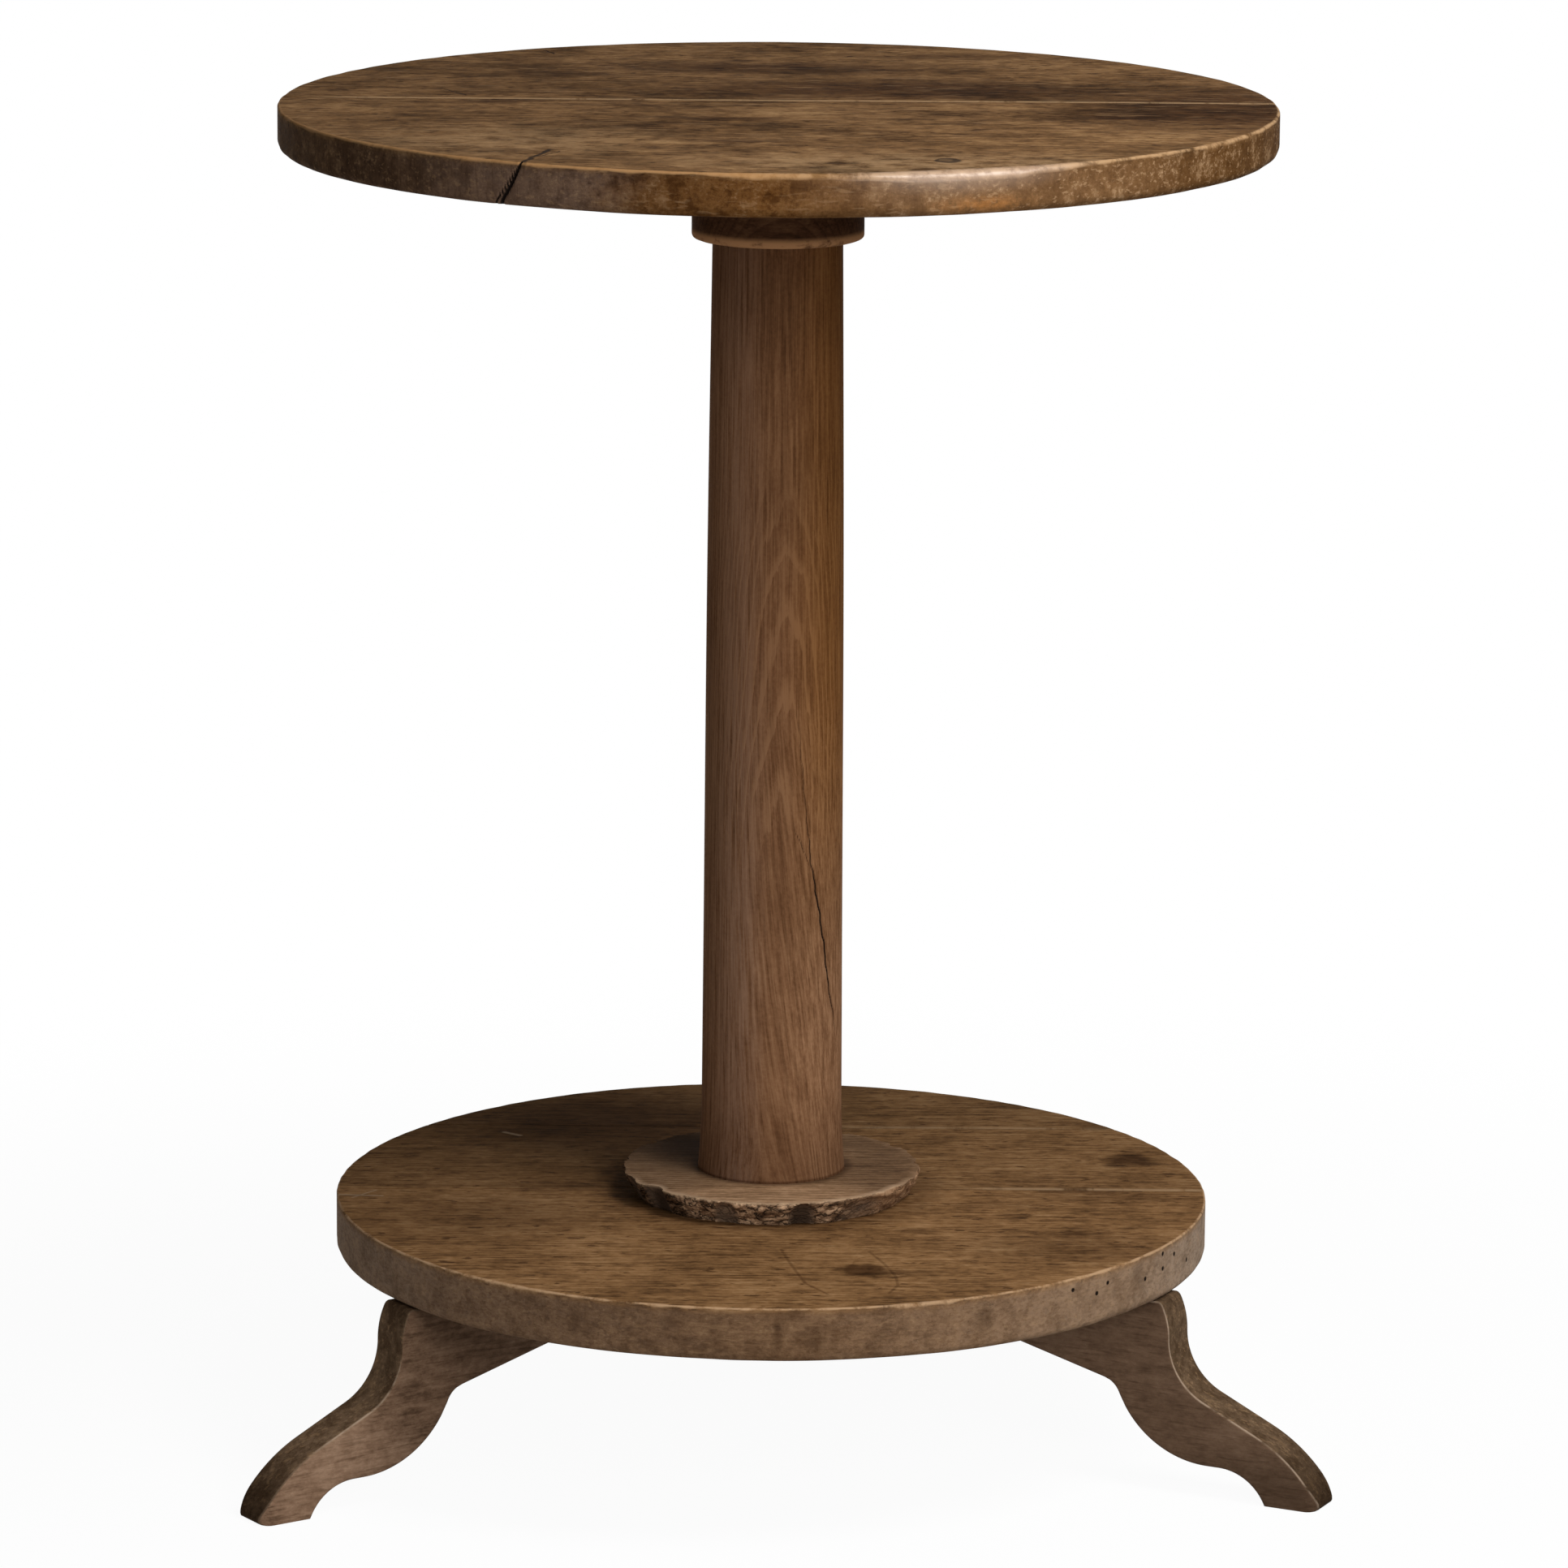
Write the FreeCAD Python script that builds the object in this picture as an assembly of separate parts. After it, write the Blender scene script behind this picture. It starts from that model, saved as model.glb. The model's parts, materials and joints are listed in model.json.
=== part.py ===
"""Two-tier wine table: a round top and a round shelf on one turned column and three sawn legs.

Sizes are in millimetres and degrees.  The table is modelled about its column, +Z up and the floor at
Z = 0, and is then set with the middle of its own box over the origin.
"""
import FreeCAD, Part
import math
import os

from FreeCAD import Vector

# Overall height, floor to table top
TABLE_HEIGHT = 732.0

# Each rounded lower rim is planed over in this many narrow flats
RIM_FLATS = 2

# Round top: two boards whose joint runs left to right, a little behind the column
TOP_DIAMETER = 533.5
TOP_THICKNESS = 23.0
TOP_UPPER_BEVEL = 2.0
TOP_LOWER_ROUND = 6.0
TOP_JOINT_BEHIND_AXIS = 13.0

# Bearer across the two boards, thinned towards its ends so that the rim hides it
BEARER_LENGTH = 400.0
BEARER_WIDTH = 76.0
BEARER_THICKNESS = 22.0
BEARER_END_THICKNESS = 8.0
BEARER_FLAT_LENGTH = 200.0

# Collar between the bearer and the column
COLLAR_DIAMETER = 92.5
COLLAR_THICKNESS = 26.5
COLLAR_LOWER_ROUND = 4.0
COLLAR_UPPER_BEVEL = 1.0

# Turned column: a slow swelling taper, with a short flare where it stands on its ring
COLUMN_TOP_DIAMETER = 70.0
COLUMN_LOWER_DIAMETER = 76.2
COLUMN_FOOT_DIAMETER = 80.0
COLUMN_FLARE_HEIGHT = 40.0
COLUMN_SWELL = 0.45
TOP_TENON_DIAMETER = 36.0
BOTTOM_TENON_DIAMETER = 40.0
BOTTOM_TENON_PROUD = 3.0

# Wedges that spread the two through tenons
WEDGE_LENGTH = 32.0
WEDGE_HEAD = 5.0
WEDGE_POINT = 1.2

# Ring under the column; each gouge cut in its edge is deepest below and runs out under the upper lip
RING_DIAMETER = 165.5
RING_THICKNESS = 14.0
GOUGE_COUNT = 13
GOUGE_FIRST_ANGLE = -77.9
GOUGE_SWEEP_RADIUS = 8.0
GOUGE_DEPTH = 6.0
GOUGE_LIP = 1.5

# Round shelf: three boards, two joints, measured behind the column's axis
BASE_DIAMETER = 475.0
BASE_THICKNESS = 29.0
BASE_UPPER_BEVEL = 2.0
BASE_LOWER_ROUND = 5.0
BASE_FRONT_JOINT = 4.0
BASE_BACK_JOINT = 136.0

# Legs, sawn to a double curve from one plank; their angles are measured from +X
LEG_HEIGHT = 105.0
LEG_THICKNESS = 26.0
LEG_ANGLES = {"leg_left": 213.9, "leg_right": 333.9, "leg_back": 93.9}
HEEL_PROUD = 6.5
HEEL_DROP = 20.0
HEEL_ROUND = 8.0
WAIST_OUT = 20.5
WAIST_DROP = 52.5
SHIN_LENGTH = 33.5
FOOT_FROM_HEEL = 90.0
SOLE_LENGTH = 33.5
INSTEP_FROM_TIP = 60.0
INSTEP_FLAT = 7.0
INSTEP_HEIGHT = 17.2
NOTCH_BEHIND_HEEL = 31.0
NOTCH_HEIGHT = 57.0
NOTCH_ROUND = 6.0
LEG_INNER_RADIUS = 60.0
LEG_INNER_DEPTH = 7.0
LEG_ARRIS = 1.5

# Two stub tenons on each leg, in blind mortises under the shelf
LEG_TENON_LENGTH = 40.0
LEG_TENON_THICKNESS = 10.0
LEG_TENON_HEIGHT = 16.0
INNER_TENON_RADIUS = 100.0
OUTER_TENON_FROM_RIM = 50.0

# Loose tongues across the board joints, each with its place left and right of the column
TONGUE_LENGTH = 60.0
TONGUE_WIDTH = 40.0
TONGUE_THICKNESS = 7.0
TOP_TONGUE_PLACES = (-190.0, -75.0, 75.0, 190.0)
BASE_FRONT_TONGUE_PLACES = (-160.0, 160.0)
BASE_BACK_TONGUE_PLACES = (-90.0, 90.0)

# Round-headed screws from the bearer up into the top, their heads sunk in round pockets
SCREW_DIAMETER = 4.5
SCREW_HEAD_DIAMETER = 9.0
SCREW_HEAD_HEIGHT = 2.8
SCREW_BITE = 14.0
SCREW_GRIP = 6.0
SCREW_POCKET_DIAMETER = 11.0
SCREW_SIDE_OFFSET = 24.0
SCREW_PLACES = (-140.0, 140.0)

# Clearances
FIT = 0.2
SCREW_FIT = 0.05
CUT_MARGIN = 2.0

# Radii that follow from the diameters
TOP_RADIUS = TOP_DIAMETER / 2
BASE_RADIUS = BASE_DIAMETER / 2
RING_RADIUS = RING_DIAMETER / 2
TOP_TENON_RADIUS = TOP_TENON_DIAMETER / 2
BOTTOM_TENON_RADIUS = BOTTOM_TENON_DIAMETER / 2

# Levels, from the floor up
BASE_BOTTOM = LEG_HEIGHT
BASE_TOP = BASE_BOTTOM + BASE_THICKNESS
RING_TOP = BASE_TOP + RING_THICKNESS
TOP_BOTTOM = TABLE_HEIGHT - TOP_THICKNESS
BEARER_BOTTOM = TOP_BOTTOM - BEARER_THICKNESS
COLLAR_BOTTOM = BEARER_BOTTOM - COLLAR_THICKNESS
SCREW_SEAT = TOP_BOTTOM - SCREW_GRIP
TOP_TENON_END = TOP_BOTTOM - FIT
BOTTOM_TENON_END = BASE_BOTTOM - BOTTOM_TENON_PROUD

# The heel's face is plumb, so the leg's outer edge leaves it straight down
HEEL_HEADING = -90.0

UP = Vector(0, 0, 1)
ALONG_X = Vector(1, 0, 0)
ALONG_Y = Vector(0, 1, 0)


def at(out, height):
    """Point in the upright plane through the column: distance out from its axis, and height."""
    return Vector(out, 0, height)


def line(start, end):
    """Straight edge between two points."""
    return Part.LineSegment(start, end).toShape()


def tangent_arc(start, heading, end):
    """Arc in the upright plane that leaves start at the heading, in degrees above +X, and reaches end.

    The middle of the arc lies off the chord by half the chord times tan(half the angle between them).
    """
    chord = end - start
    ahead = towards(heading)
    along = Vector(chord).normalize()
    side = ahead - along * ahead.dot(along)
    rise = chord.Length / 2 * math.tan(ahead.getAngle(along) / 2)
    return Part.Arc(start, start + chord * 0.5 + side.normalize() * rise, end).toShape()


def towards(heading):
    """Unit step in the upright plane at a heading in degrees above +X."""
    return at(math.cos(math.radians(heading)), math.sin(math.radians(heading)))


def heading_between(start, end):
    """Direction from start to end in the upright plane, in degrees above +X."""
    return math.degrees(math.atan2(end.z - start.z, end.x - start.x))


def quarter_round(centre, radius, first_angle):
    """Corners of a quarter round in the upright plane, planed over in equal flats."""
    step = 90 / RIM_FLATS
    return [centre + towards(first_angle + step * index) * radius for index in range(RIM_FLATS + 1)]


def rounded_disc(radius, bottom, thickness, lower_round, upper_bevel):
    """Flat round blank, its lower rim rounded and its upper rim bevelled."""
    top = bottom + thickness
    lower = quarter_round(at(radius - lower_round, bottom + lower_round), lower_round, -90)
    upper = [at(radius, top - upper_bevel), at(radius - upper_bevel, top)]
    outline = [at(0, bottom)] + lower + upper + [at(0, top), at(0, bottom)]
    return Part.Face(Part.makePolygon(outline)).revolve(Vector(), UP, 360)


def sawn_into_boards(disc, joints):
    """Boards of a round blank, front to back, parted at the planes Y = joint."""
    box = disc.BoundBox
    limits = [box.YMin - CUT_MARGIN, *joints, box.YMax + CUT_MARGIN]
    boards = []
    for near, far in zip(limits, limits[1:]):
        corner = Vector(box.XMin - CUT_MARGIN, near, box.ZMin - CUT_MARGIN)
        slab = Part.makeBox(box.XLength + 2 * CUT_MARGIN, far - near, box.ZLength + 2 * CUT_MARGIN, corner)
        boards.append(disc.common(slab))
    return boards


def tongue(place, joint, level, clearance):
    """Loose tongue across a joint, or its slot in the two boards with a clearance all round."""
    length = TONGUE_LENGTH + 2 * clearance
    width = TONGUE_WIDTH + 2 * clearance
    thickness = TONGUE_THICKNESS + 2 * clearance
    corner = Vector(place - length / 2, joint - width / 2, level - thickness / 2)
    return Part.makeBox(length, width, thickness, corner)


def upright_cylinder(radius, bottom, top):
    """Cylinder on the column's axis between two heights."""
    return Part.makeCylinder(radius, top - bottom, Vector(0, 0, bottom))


def tenon_hole(radius, bottom, top):
    """Upright hole on the column's axis for a round tenon."""
    return upright_cylinder(radius + FIT, bottom - CUT_MARGIN, top + CUT_MARGIN)


def screw_places():
    """Where the screws stand, in pairs along the bearer."""
    return [Vector(side, place, 0) for place in SCREW_PLACES
            for side in (-SCREW_SIDE_OFFSET, SCREW_SIDE_OFFSET)]


def screw(place):
    """Screw through the bearer into the top, head down in its pocket."""
    head = upright_cylinder(SCREW_HEAD_DIAMETER / 2, SCREW_SEAT - SCREW_HEAD_HEIGHT, SCREW_SEAT)
    shank = upright_cylinder(SCREW_DIAMETER / 2, SCREW_SEAT, TOP_BOTTOM + SCREW_BITE)
    return head.fuse(shank).translated(place)


def screw_hole(place):
    """Hole for a screw's shank, and the pocket that takes its head."""
    shank = upright_cylinder(SCREW_DIAMETER / 2 + SCREW_FIT, SCREW_SEAT, TOP_BOTTOM + SCREW_BITE + SCREW_FIT)
    pocket = upright_cylinder(SCREW_POCKET_DIAMETER / 2, BEARER_BOTTOM - CUT_MARGIN, SCREW_SEAT)
    return shank.fuse(pocket).translated(place)


def top_tongues(clearance):
    """Tongues across the joint of the top, or their slots."""
    level = TOP_BOTTOM + TOP_THICKNESS / 2
    return [tongue(place, TOP_JOINT_BEHIND_AXIS, level, clearance) for place in TOP_TONGUE_PLACES]


def top_boards(screw_holes):
    """Front and back board of the top, cut for the tongues and the screws."""
    disc = rounded_disc(TOP_RADIUS, TOP_BOTTOM, TOP_THICKNESS, TOP_LOWER_ROUND, TOP_UPPER_BEVEL)
    cuts = top_tongues(FIT) + screw_holes
    return [board.cut(cuts) for board in sawn_into_boards(disc, [TOP_JOINT_BEHIND_AXIS])]


def bearer(screw_holes):
    """Cross bearer with long bevels below its ends, bored for the column's tenon and the screws."""
    half = BEARER_LENGTH / 2
    flat = BEARER_FLAT_LENGTH / 2
    end_level = TOP_BOTTOM - BEARER_END_THICKNESS
    side = [(-half, TOP_BOTTOM), (-half, end_level), (-flat, BEARER_BOTTOM), (flat, BEARER_BOTTOM),
            (half, end_level), (half, TOP_BOTTOM), (-half, TOP_BOTTOM)]
    outline = Part.makePolygon([Vector(-BEARER_WIDTH / 2, along, level) for along, level in side])
    blank = Part.Face(outline).extrude(ALONG_X * BEARER_WIDTH)
    return blank.cut([tenon_hole(TOP_TENON_RADIUS, BEARER_BOTTOM, TOP_BOTTOM)] + screw_holes)


def collar():
    """Turned collar below the bearer, its lower rim rounded."""
    disc = rounded_disc(COLLAR_DIAMETER / 2, COLLAR_BOTTOM, COLLAR_THICKNESS, COLLAR_LOWER_ROUND, COLLAR_UPPER_BEVEL)
    return disc.cut(tenon_hole(TOP_TENON_RADIUS, COLLAR_BOTTOM, BEARER_BOTTOM))


def wedge(tenon_radius, end, inward, spread, across):
    """Wedge in the end of a tenon: a tapered strip that spreads it, as wide as the tenon.

    end is the height of the tenon's end, inward +1 or -1 the way into the wood.
    """
    point = end + inward * WEDGE_LENGTH
    section = [spread * (-WEDGE_HEAD / 2) + UP * end, spread * (WEDGE_HEAD / 2) + UP * end,
               spread * (WEDGE_POINT / 2) + UP * point, spread * (-WEDGE_POINT / 2) + UP * point]
    outline = Part.makePolygon([corner - across * tenon_radius for corner in section + section[:1]])
    strip = Part.Face(outline).extrude(across * (2 * tenon_radius))
    lowest = min(end, point)
    return strip.common(Part.makeCylinder(tenon_radius, WEDGE_LENGTH, Vector(0, 0, lowest)))


def column(kerfs):
    """Turned column with a round tenon at each end, slit for the wedges."""
    foot = at(COLUMN_FOOT_DIAMETER / 2, RING_TOP)
    waist = at(COLUMN_LOWER_DIAMETER / 2, RING_TOP + COLUMN_FLARE_HEIGHT)
    head = at(COLUMN_TOP_DIAMETER / 2, COLLAR_BOTTOM)
    swell = (waist + head) * 0.5 + ALONG_X * COLUMN_SWELL
    bottom_end = at(BOTTOM_TENON_RADIUS, BOTTOM_TENON_END)
    bottom_shoulder = at(BOTTOM_TENON_RADIUS, RING_TOP)
    top_shoulder = at(TOP_TENON_RADIUS, COLLAR_BOTTOM)
    top_end = at(TOP_TENON_RADIUS, TOP_TENON_END)
    outline = Part.Wire([
        line(at(0, BOTTOM_TENON_END), bottom_end),
        line(bottom_end, bottom_shoulder),
        line(bottom_shoulder, foot),
        tangent_arc(waist, -90, foot),
        Part.Arc(waist, swell, head).toShape(),
        line(head, top_shoulder),
        line(top_shoulder, top_end),
        line(top_end, at(0, TOP_TENON_END)),
        line(at(0, TOP_TENON_END), at(0, BOTTOM_TENON_END)),
    ])
    return Part.Face(outline).revolve(Vector(), UP, 360).cut(kerfs)


def gouge_cut(angle):
    """One gouge stroke in the ring's edge: a round tool tilted so that the cut runs out below the lip."""
    height = RING_THICKNESS - GOUGE_LIP
    stroke = Vector(GOUGE_DEPTH, 0, height)
    tilt = math.atan2(GOUGE_DEPTH, height)
    heart = Vector(RING_RADIUS - GOUGE_DEPTH + GOUGE_SWEEP_RADIUS / math.cos(tilt), 0, BASE_TOP)
    start = heart - stroke
    end = heart + stroke + stroke
    tool = Part.makeCylinder(GOUGE_SWEEP_RADIUS, (end - start).Length, start, stroke)
    return tool.rotated(Vector(), UP, angle)


def foot_ring():
    """Ring that the column stands on, gouge-carved round its edge."""
    disc = Part.makeCylinder(RING_RADIUS, RING_THICKNESS, Vector(0, 0, BASE_TOP))
    step = 360 / GOUGE_COUNT
    cuts = [gouge_cut(GOUGE_FIRST_ANGLE + step * index) for index in range(GOUGE_COUNT)]
    return disc.cut([tenon_hole(BOTTOM_TENON_RADIUS, BASE_TOP, RING_TOP)] + cuts)


def leg_tenon_radii():
    """Where the middles of a leg's two stub tenons lie, out from the column's axis."""
    return (INNER_TENON_RADIUS, BASE_RADIUS - OUTER_TENON_FROM_RIM)


def stub_tenon(out, clearance):
    """Stub tenon above a leg's top edge, or its mortise with a clearance."""
    length = LEG_TENON_LENGTH + 2 * clearance
    thickness = LEG_TENON_THICKNESS + 2 * clearance
    corner = Vector(out - length / 2, -thickness / 2, BASE_BOTTOM)
    return Part.makeBox(length, thickness, LEG_TENON_HEIGHT + clearance, corner)


def leg_outline():
    """Closed outline of a leg in the upright plane: heel, waist, toe, sole, instep, belly and bracket."""
    heel = BASE_RADIUS + HEEL_PROUD
    tip = heel + FOOT_FROM_HEEL
    top_inner = at(LEG_INNER_RADIUS, BASE_BOTTOM)
    top_outer = at(heel - HEEL_ROUND, BASE_BOTTOM)
    heel_top = at(heel, BASE_BOTTOM - HEEL_ROUND)
    heel_bottom = at(heel, BASE_BOTTOM - HEEL_DROP)
    waist = at(heel + WAIST_OUT, BASE_BOTTOM - WAIST_DROP)
    slope = 2 * heading_between(heel_bottom, waist) - HEEL_HEADING
    toe_top = waist + towards(slope) * SHIN_LENGTH
    toe_tip = at(tip, 0)
    sole_inner = at(tip - SOLE_LENGTH, 0)
    instep = at(tip - INSTEP_FROM_TIP, INSTEP_HEIGHT)
    belly = at(tip - INSTEP_FROM_TIP - INSTEP_FLAT, INSTEP_HEIGHT)
    notch = at(heel - NOTCH_BEHIND_HEEL, NOTCH_HEIGHT)
    inner_low = at(LEG_INNER_RADIUS, BASE_BOTTOM - LEG_INNER_DEPTH)
    return Part.Wire([
        line(top_inner, top_outer),
        tangent_arc(top_outer, 0, heel_top),
        line(heel_top, heel_bottom),
        tangent_arc(heel_bottom, HEEL_HEADING, waist),
        line(waist, toe_top),
        tangent_arc(toe_top, slope, toe_tip),
        line(toe_tip, sole_inner),
        tangent_arc(instep, 0, sole_inner),
        line(instep, belly),
        tangent_arc(belly, 180, notch),
        line(notch, inner_low),
        line(inner_low, top_inner),
    ])


def leg_arrises(blank):
    """Edges along a leg's two flat sides, except where it bears on the shelf and on the floor."""
    def eased(edge):
        box = edge.BoundBox
        level = box.ZLength < FIT and (box.ZMax < FIT or box.ZMin > BASE_BOTTOM - FIT)
        plumb_inner = box.XMax < LEG_INNER_RADIUS + FIT
        return box.YLength < FIT and not level and not plumb_inner
    return [edge for edge in blank.Edges if eased(edge)]


def leg(angle):
    """Sawn leg with its two stub tenons, turned to its place round the column."""
    blank = Part.Face(leg_outline()).extrude(ALONG_Y * LEG_THICKNESS)
    blank.translate(ALONG_Y * (-LEG_THICKNESS / 2))
    notch = [edge for edge in blank.Edges if edge.BoundBox.ZLength < FIT
             and abs(edge.BoundBox.ZMax - NOTCH_HEIGHT) < FIT]
    blank = blank.makeFillet(NOTCH_ROUND, notch)
    blank = blank.makeChamfer(LEG_ARRIS, leg_arrises(blank))
    tenons = [stub_tenon(out, 0) for out in leg_tenon_radii()]
    return blank.fuse(tenons).rotated(Vector(), UP, angle)


def leg_mortises():
    """Mortises under the shelf for all the legs' tenons."""
    return [stub_tenon(out, FIT).rotated(Vector(), UP, angle)
            for angle in LEG_ANGLES.values() for out in leg_tenon_radii()]


def base_tongues(clearance):
    """Tongues across the two joints of the shelf, or their slots."""
    level = BASE_BOTTOM + BASE_THICKNESS / 2
    front = [tongue(place, BASE_FRONT_JOINT, level, clearance) for place in BASE_FRONT_TONGUE_PLACES]
    back = [tongue(place, BASE_BACK_JOINT, level, clearance) for place in BASE_BACK_TONGUE_PLACES]
    return front + back


def base_boards():
    """Front, middle and back board of the shelf, cut for tongues, tenon and legs."""
    disc = rounded_disc(BASE_RADIUS, BASE_BOTTOM, BASE_THICKNESS, BASE_LOWER_ROUND, BASE_UPPER_BEVEL)
    cuts = base_tongues(FIT) + leg_mortises()
    cuts.append(tenon_hole(BOTTOM_TENON_RADIUS, BASE_BOTTOM, BASE_TOP))
    return [board.cut(cuts) for board in sawn_into_boards(disc, [BASE_FRONT_JOINT, BASE_BACK_JOINT])]


def wine_table():
    """All the pieces of the table about its column, by name."""
    screw_holes = [screw_hole(place) for place in screw_places()]
    top_front, top_back = top_boards(screw_holes)
    base_front, base_middle, base_back = base_boards()
    top_wedge = wedge(TOP_TENON_RADIUS, TOP_TENON_END, -1, ALONG_Y, ALONG_X)
    bottom_wedge = wedge(BOTTOM_TENON_RADIUS, BOTTOM_TENON_END, 1, ALONG_X, ALONG_Y)
    pieces = {
        "top_board_front": top_front,
        "top_board_back": top_back,
        "top_joint_tongues": Part.makeCompound(top_tongues(0)),
        "top_bearer": bearer(screw_holes),
        "bearer_screws": Part.makeCompound([screw(place) for place in screw_places()]),
        "collar": collar(),
        "column": column([top_wedge, bottom_wedge]),
        "top_tenon_wedge": top_wedge,
        "bottom_tenon_wedge": bottom_wedge,
        "foot_ring": foot_ring(),
        "base_board_front": base_front,
        "base_board_middle": base_middle,
        "base_board_back": base_back,
        "base_joint_tongues": Part.makeCompound(base_tongues(0)),
    }
    for name, angle in LEG_ANGLES.items():
        pieces[name] = leg(angle)
    return pieces


def export(pieces):
    """Writes every piece, moved so that the middle of the table's box stands over the origin."""
    os.makedirs("parts", exist_ok=True)
    box = Part.makeCompound(list(pieces.values())).optimalBoundingBox(False, False)
    shift = Vector(-box.Center.x, -box.Center.y, -box.ZMin)
    print("column axis at X %.2f, Y %.2f" % (shift.x, shift.y))
    print("box %.1f x %.1f x %.1f" % (box.XLength, box.YLength, box.ZLength))
    for name, shape in pieces.items():
        shape.translated(shift).exportStep("parts/%s.step" % name)
        print("%-20s solids %2d  volume %.1f cm3" % (name, len(shape.Solids), shape.Volume / 1000))


export(wine_table())
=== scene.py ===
# %% [markdown]
# # An old wine table
# A round top and a round shelf, both of jointed boards, sit on one turned column and three sawn legs. The
# frame that is loaded here holds every piece in its true place. This lesson dresses it: each visible piece
# is worked out again as a surface, with its worn edges, cracks and tool marks, and gets its wood.

# %% Load the frame
import json
import math
from functools import reduce
from operator import or_

import bmesh
import bpy
import numpy as np
from mathutils import Matrix, Vector

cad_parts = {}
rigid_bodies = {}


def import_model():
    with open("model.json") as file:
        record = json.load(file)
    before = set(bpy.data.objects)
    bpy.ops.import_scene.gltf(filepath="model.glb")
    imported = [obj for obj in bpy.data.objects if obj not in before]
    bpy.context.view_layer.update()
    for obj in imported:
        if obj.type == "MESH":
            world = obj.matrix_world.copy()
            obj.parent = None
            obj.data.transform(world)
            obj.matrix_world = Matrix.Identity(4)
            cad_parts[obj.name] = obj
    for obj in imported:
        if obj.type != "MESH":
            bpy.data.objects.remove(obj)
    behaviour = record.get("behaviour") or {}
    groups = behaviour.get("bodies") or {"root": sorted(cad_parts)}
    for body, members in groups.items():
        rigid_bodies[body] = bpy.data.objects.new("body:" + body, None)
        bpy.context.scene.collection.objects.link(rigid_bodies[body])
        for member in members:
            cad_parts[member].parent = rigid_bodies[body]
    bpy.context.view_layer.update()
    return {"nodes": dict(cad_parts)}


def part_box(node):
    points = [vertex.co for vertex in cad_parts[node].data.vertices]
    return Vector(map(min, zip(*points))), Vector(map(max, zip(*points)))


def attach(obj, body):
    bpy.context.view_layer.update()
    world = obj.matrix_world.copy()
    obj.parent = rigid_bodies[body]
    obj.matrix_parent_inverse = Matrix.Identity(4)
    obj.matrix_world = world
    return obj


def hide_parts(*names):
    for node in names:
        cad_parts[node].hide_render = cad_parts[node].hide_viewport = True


for leftover in list(bpy.data.objects):
    bpy.data.objects.remove(leftover)
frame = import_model()
print("frame nodes:", sorted(frame["nodes"]))

# %% [markdown]
# ## Measures
# Sizes come from the boxes of the frame's own nodes, so that a piece always sits where its solid is. All
# surfaces are worked out in millimetres about the column's axis, and are moved into the frame last.

# %% Read the measures
MM = 0.001


def node_box(node):
    """Lowest and highest corner of a node, in millimetres."""
    low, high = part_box(node)
    return np.array(low) / MM, np.array(high) / MM


column_low, column_high = node_box("column")
AXIS = np.array([(column_low[0] + column_high[0]) / 2, (column_low[1] + column_high[1]) / 2, 0.0])


def round_measures(back_board, *other_boards):
    """Radius and levels of a round made of boards, and how far behind the axis its joints lie."""
    low, high = node_box(back_board)
    joints = [node_box(board)[1][1] - AXIS[1] for board in other_boards]
    return {"radius": high[1] - AXIS[1], "floor": low[2], "face": high[2], "joints": joints}


TOP = round_measures("top_board_back", "top_board_front")
SHELF = round_measures("base_board_back", "base_board_front", "base_board_middle")
print("top", TOP)
print("shelf", SHELF)

# %% [markdown]
# ## Camera
# The photograph was taken with a long lens from a little above the top. A long lens keeps upright edges
# almost parallel. The values below were fitted to the outlines of the two rounds and of the legs.

# %% Set the camera
PHOTO_SIZE = 1932
SENSOR = 36.0
FOCAL_PIXELS = 10171.3
EYE = AXIS + np.array([0.0, -4371.2, 1308.96])
PITCH, YAW, ROLL = np.radians([12.229, 0.072, 0.436])


def camera_axes(pitch, yaw, roll):
    """Right, up and ahead: turn by yaw about Z, tip down by pitch, then roll about the view."""
    ahead = np.array([math.sin(yaw) * math.cos(pitch), math.cos(yaw) * math.cos(pitch), -math.sin(pitch)])
    level = np.array([math.cos(yaw), -math.sin(yaw), 0.0])
    upright = np.cross(level, ahead)
    right = math.cos(roll) * level + math.sin(roll) * upright
    return right, np.cross(right, ahead), ahead


lens = bpy.data.cameras.new("photo_lens")
lens.sensor_width = SENSOR
lens.lens = FOCAL_PIXELS / PHOTO_SIZE * SENSOR
lens.clip_end = 200.0
camera = bpy.data.objects.new("photo_camera", lens)
bpy.context.scene.collection.objects.link(camera)
bpy.context.scene.camera = camera
right, up, ahead = camera_axes(PITCH, YAW, ROLL)
stance = np.column_stack([right, up, -ahead, EYE * MM])
camera.matrix_world = Matrix(np.vstack([stance, [0, 0, 0, 1]]).tolist())
bpy.context.scene.view_settings.view_transform = "Standard"
print("lens", round(lens.lens, 1), "mm")

# %% [markdown]
# ## Shader maths
# A finish is a graph of nodes. Written node by node it would be long, so one small class wraps a socket and
# lets Python's own operators add the Math nodes. Another keeps a tree of nodes and adds every other node. A
# third is such a tree with its material, and has the places and patterns that all the finishes share.

# %% Sockets that can be added and multiplied


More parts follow.
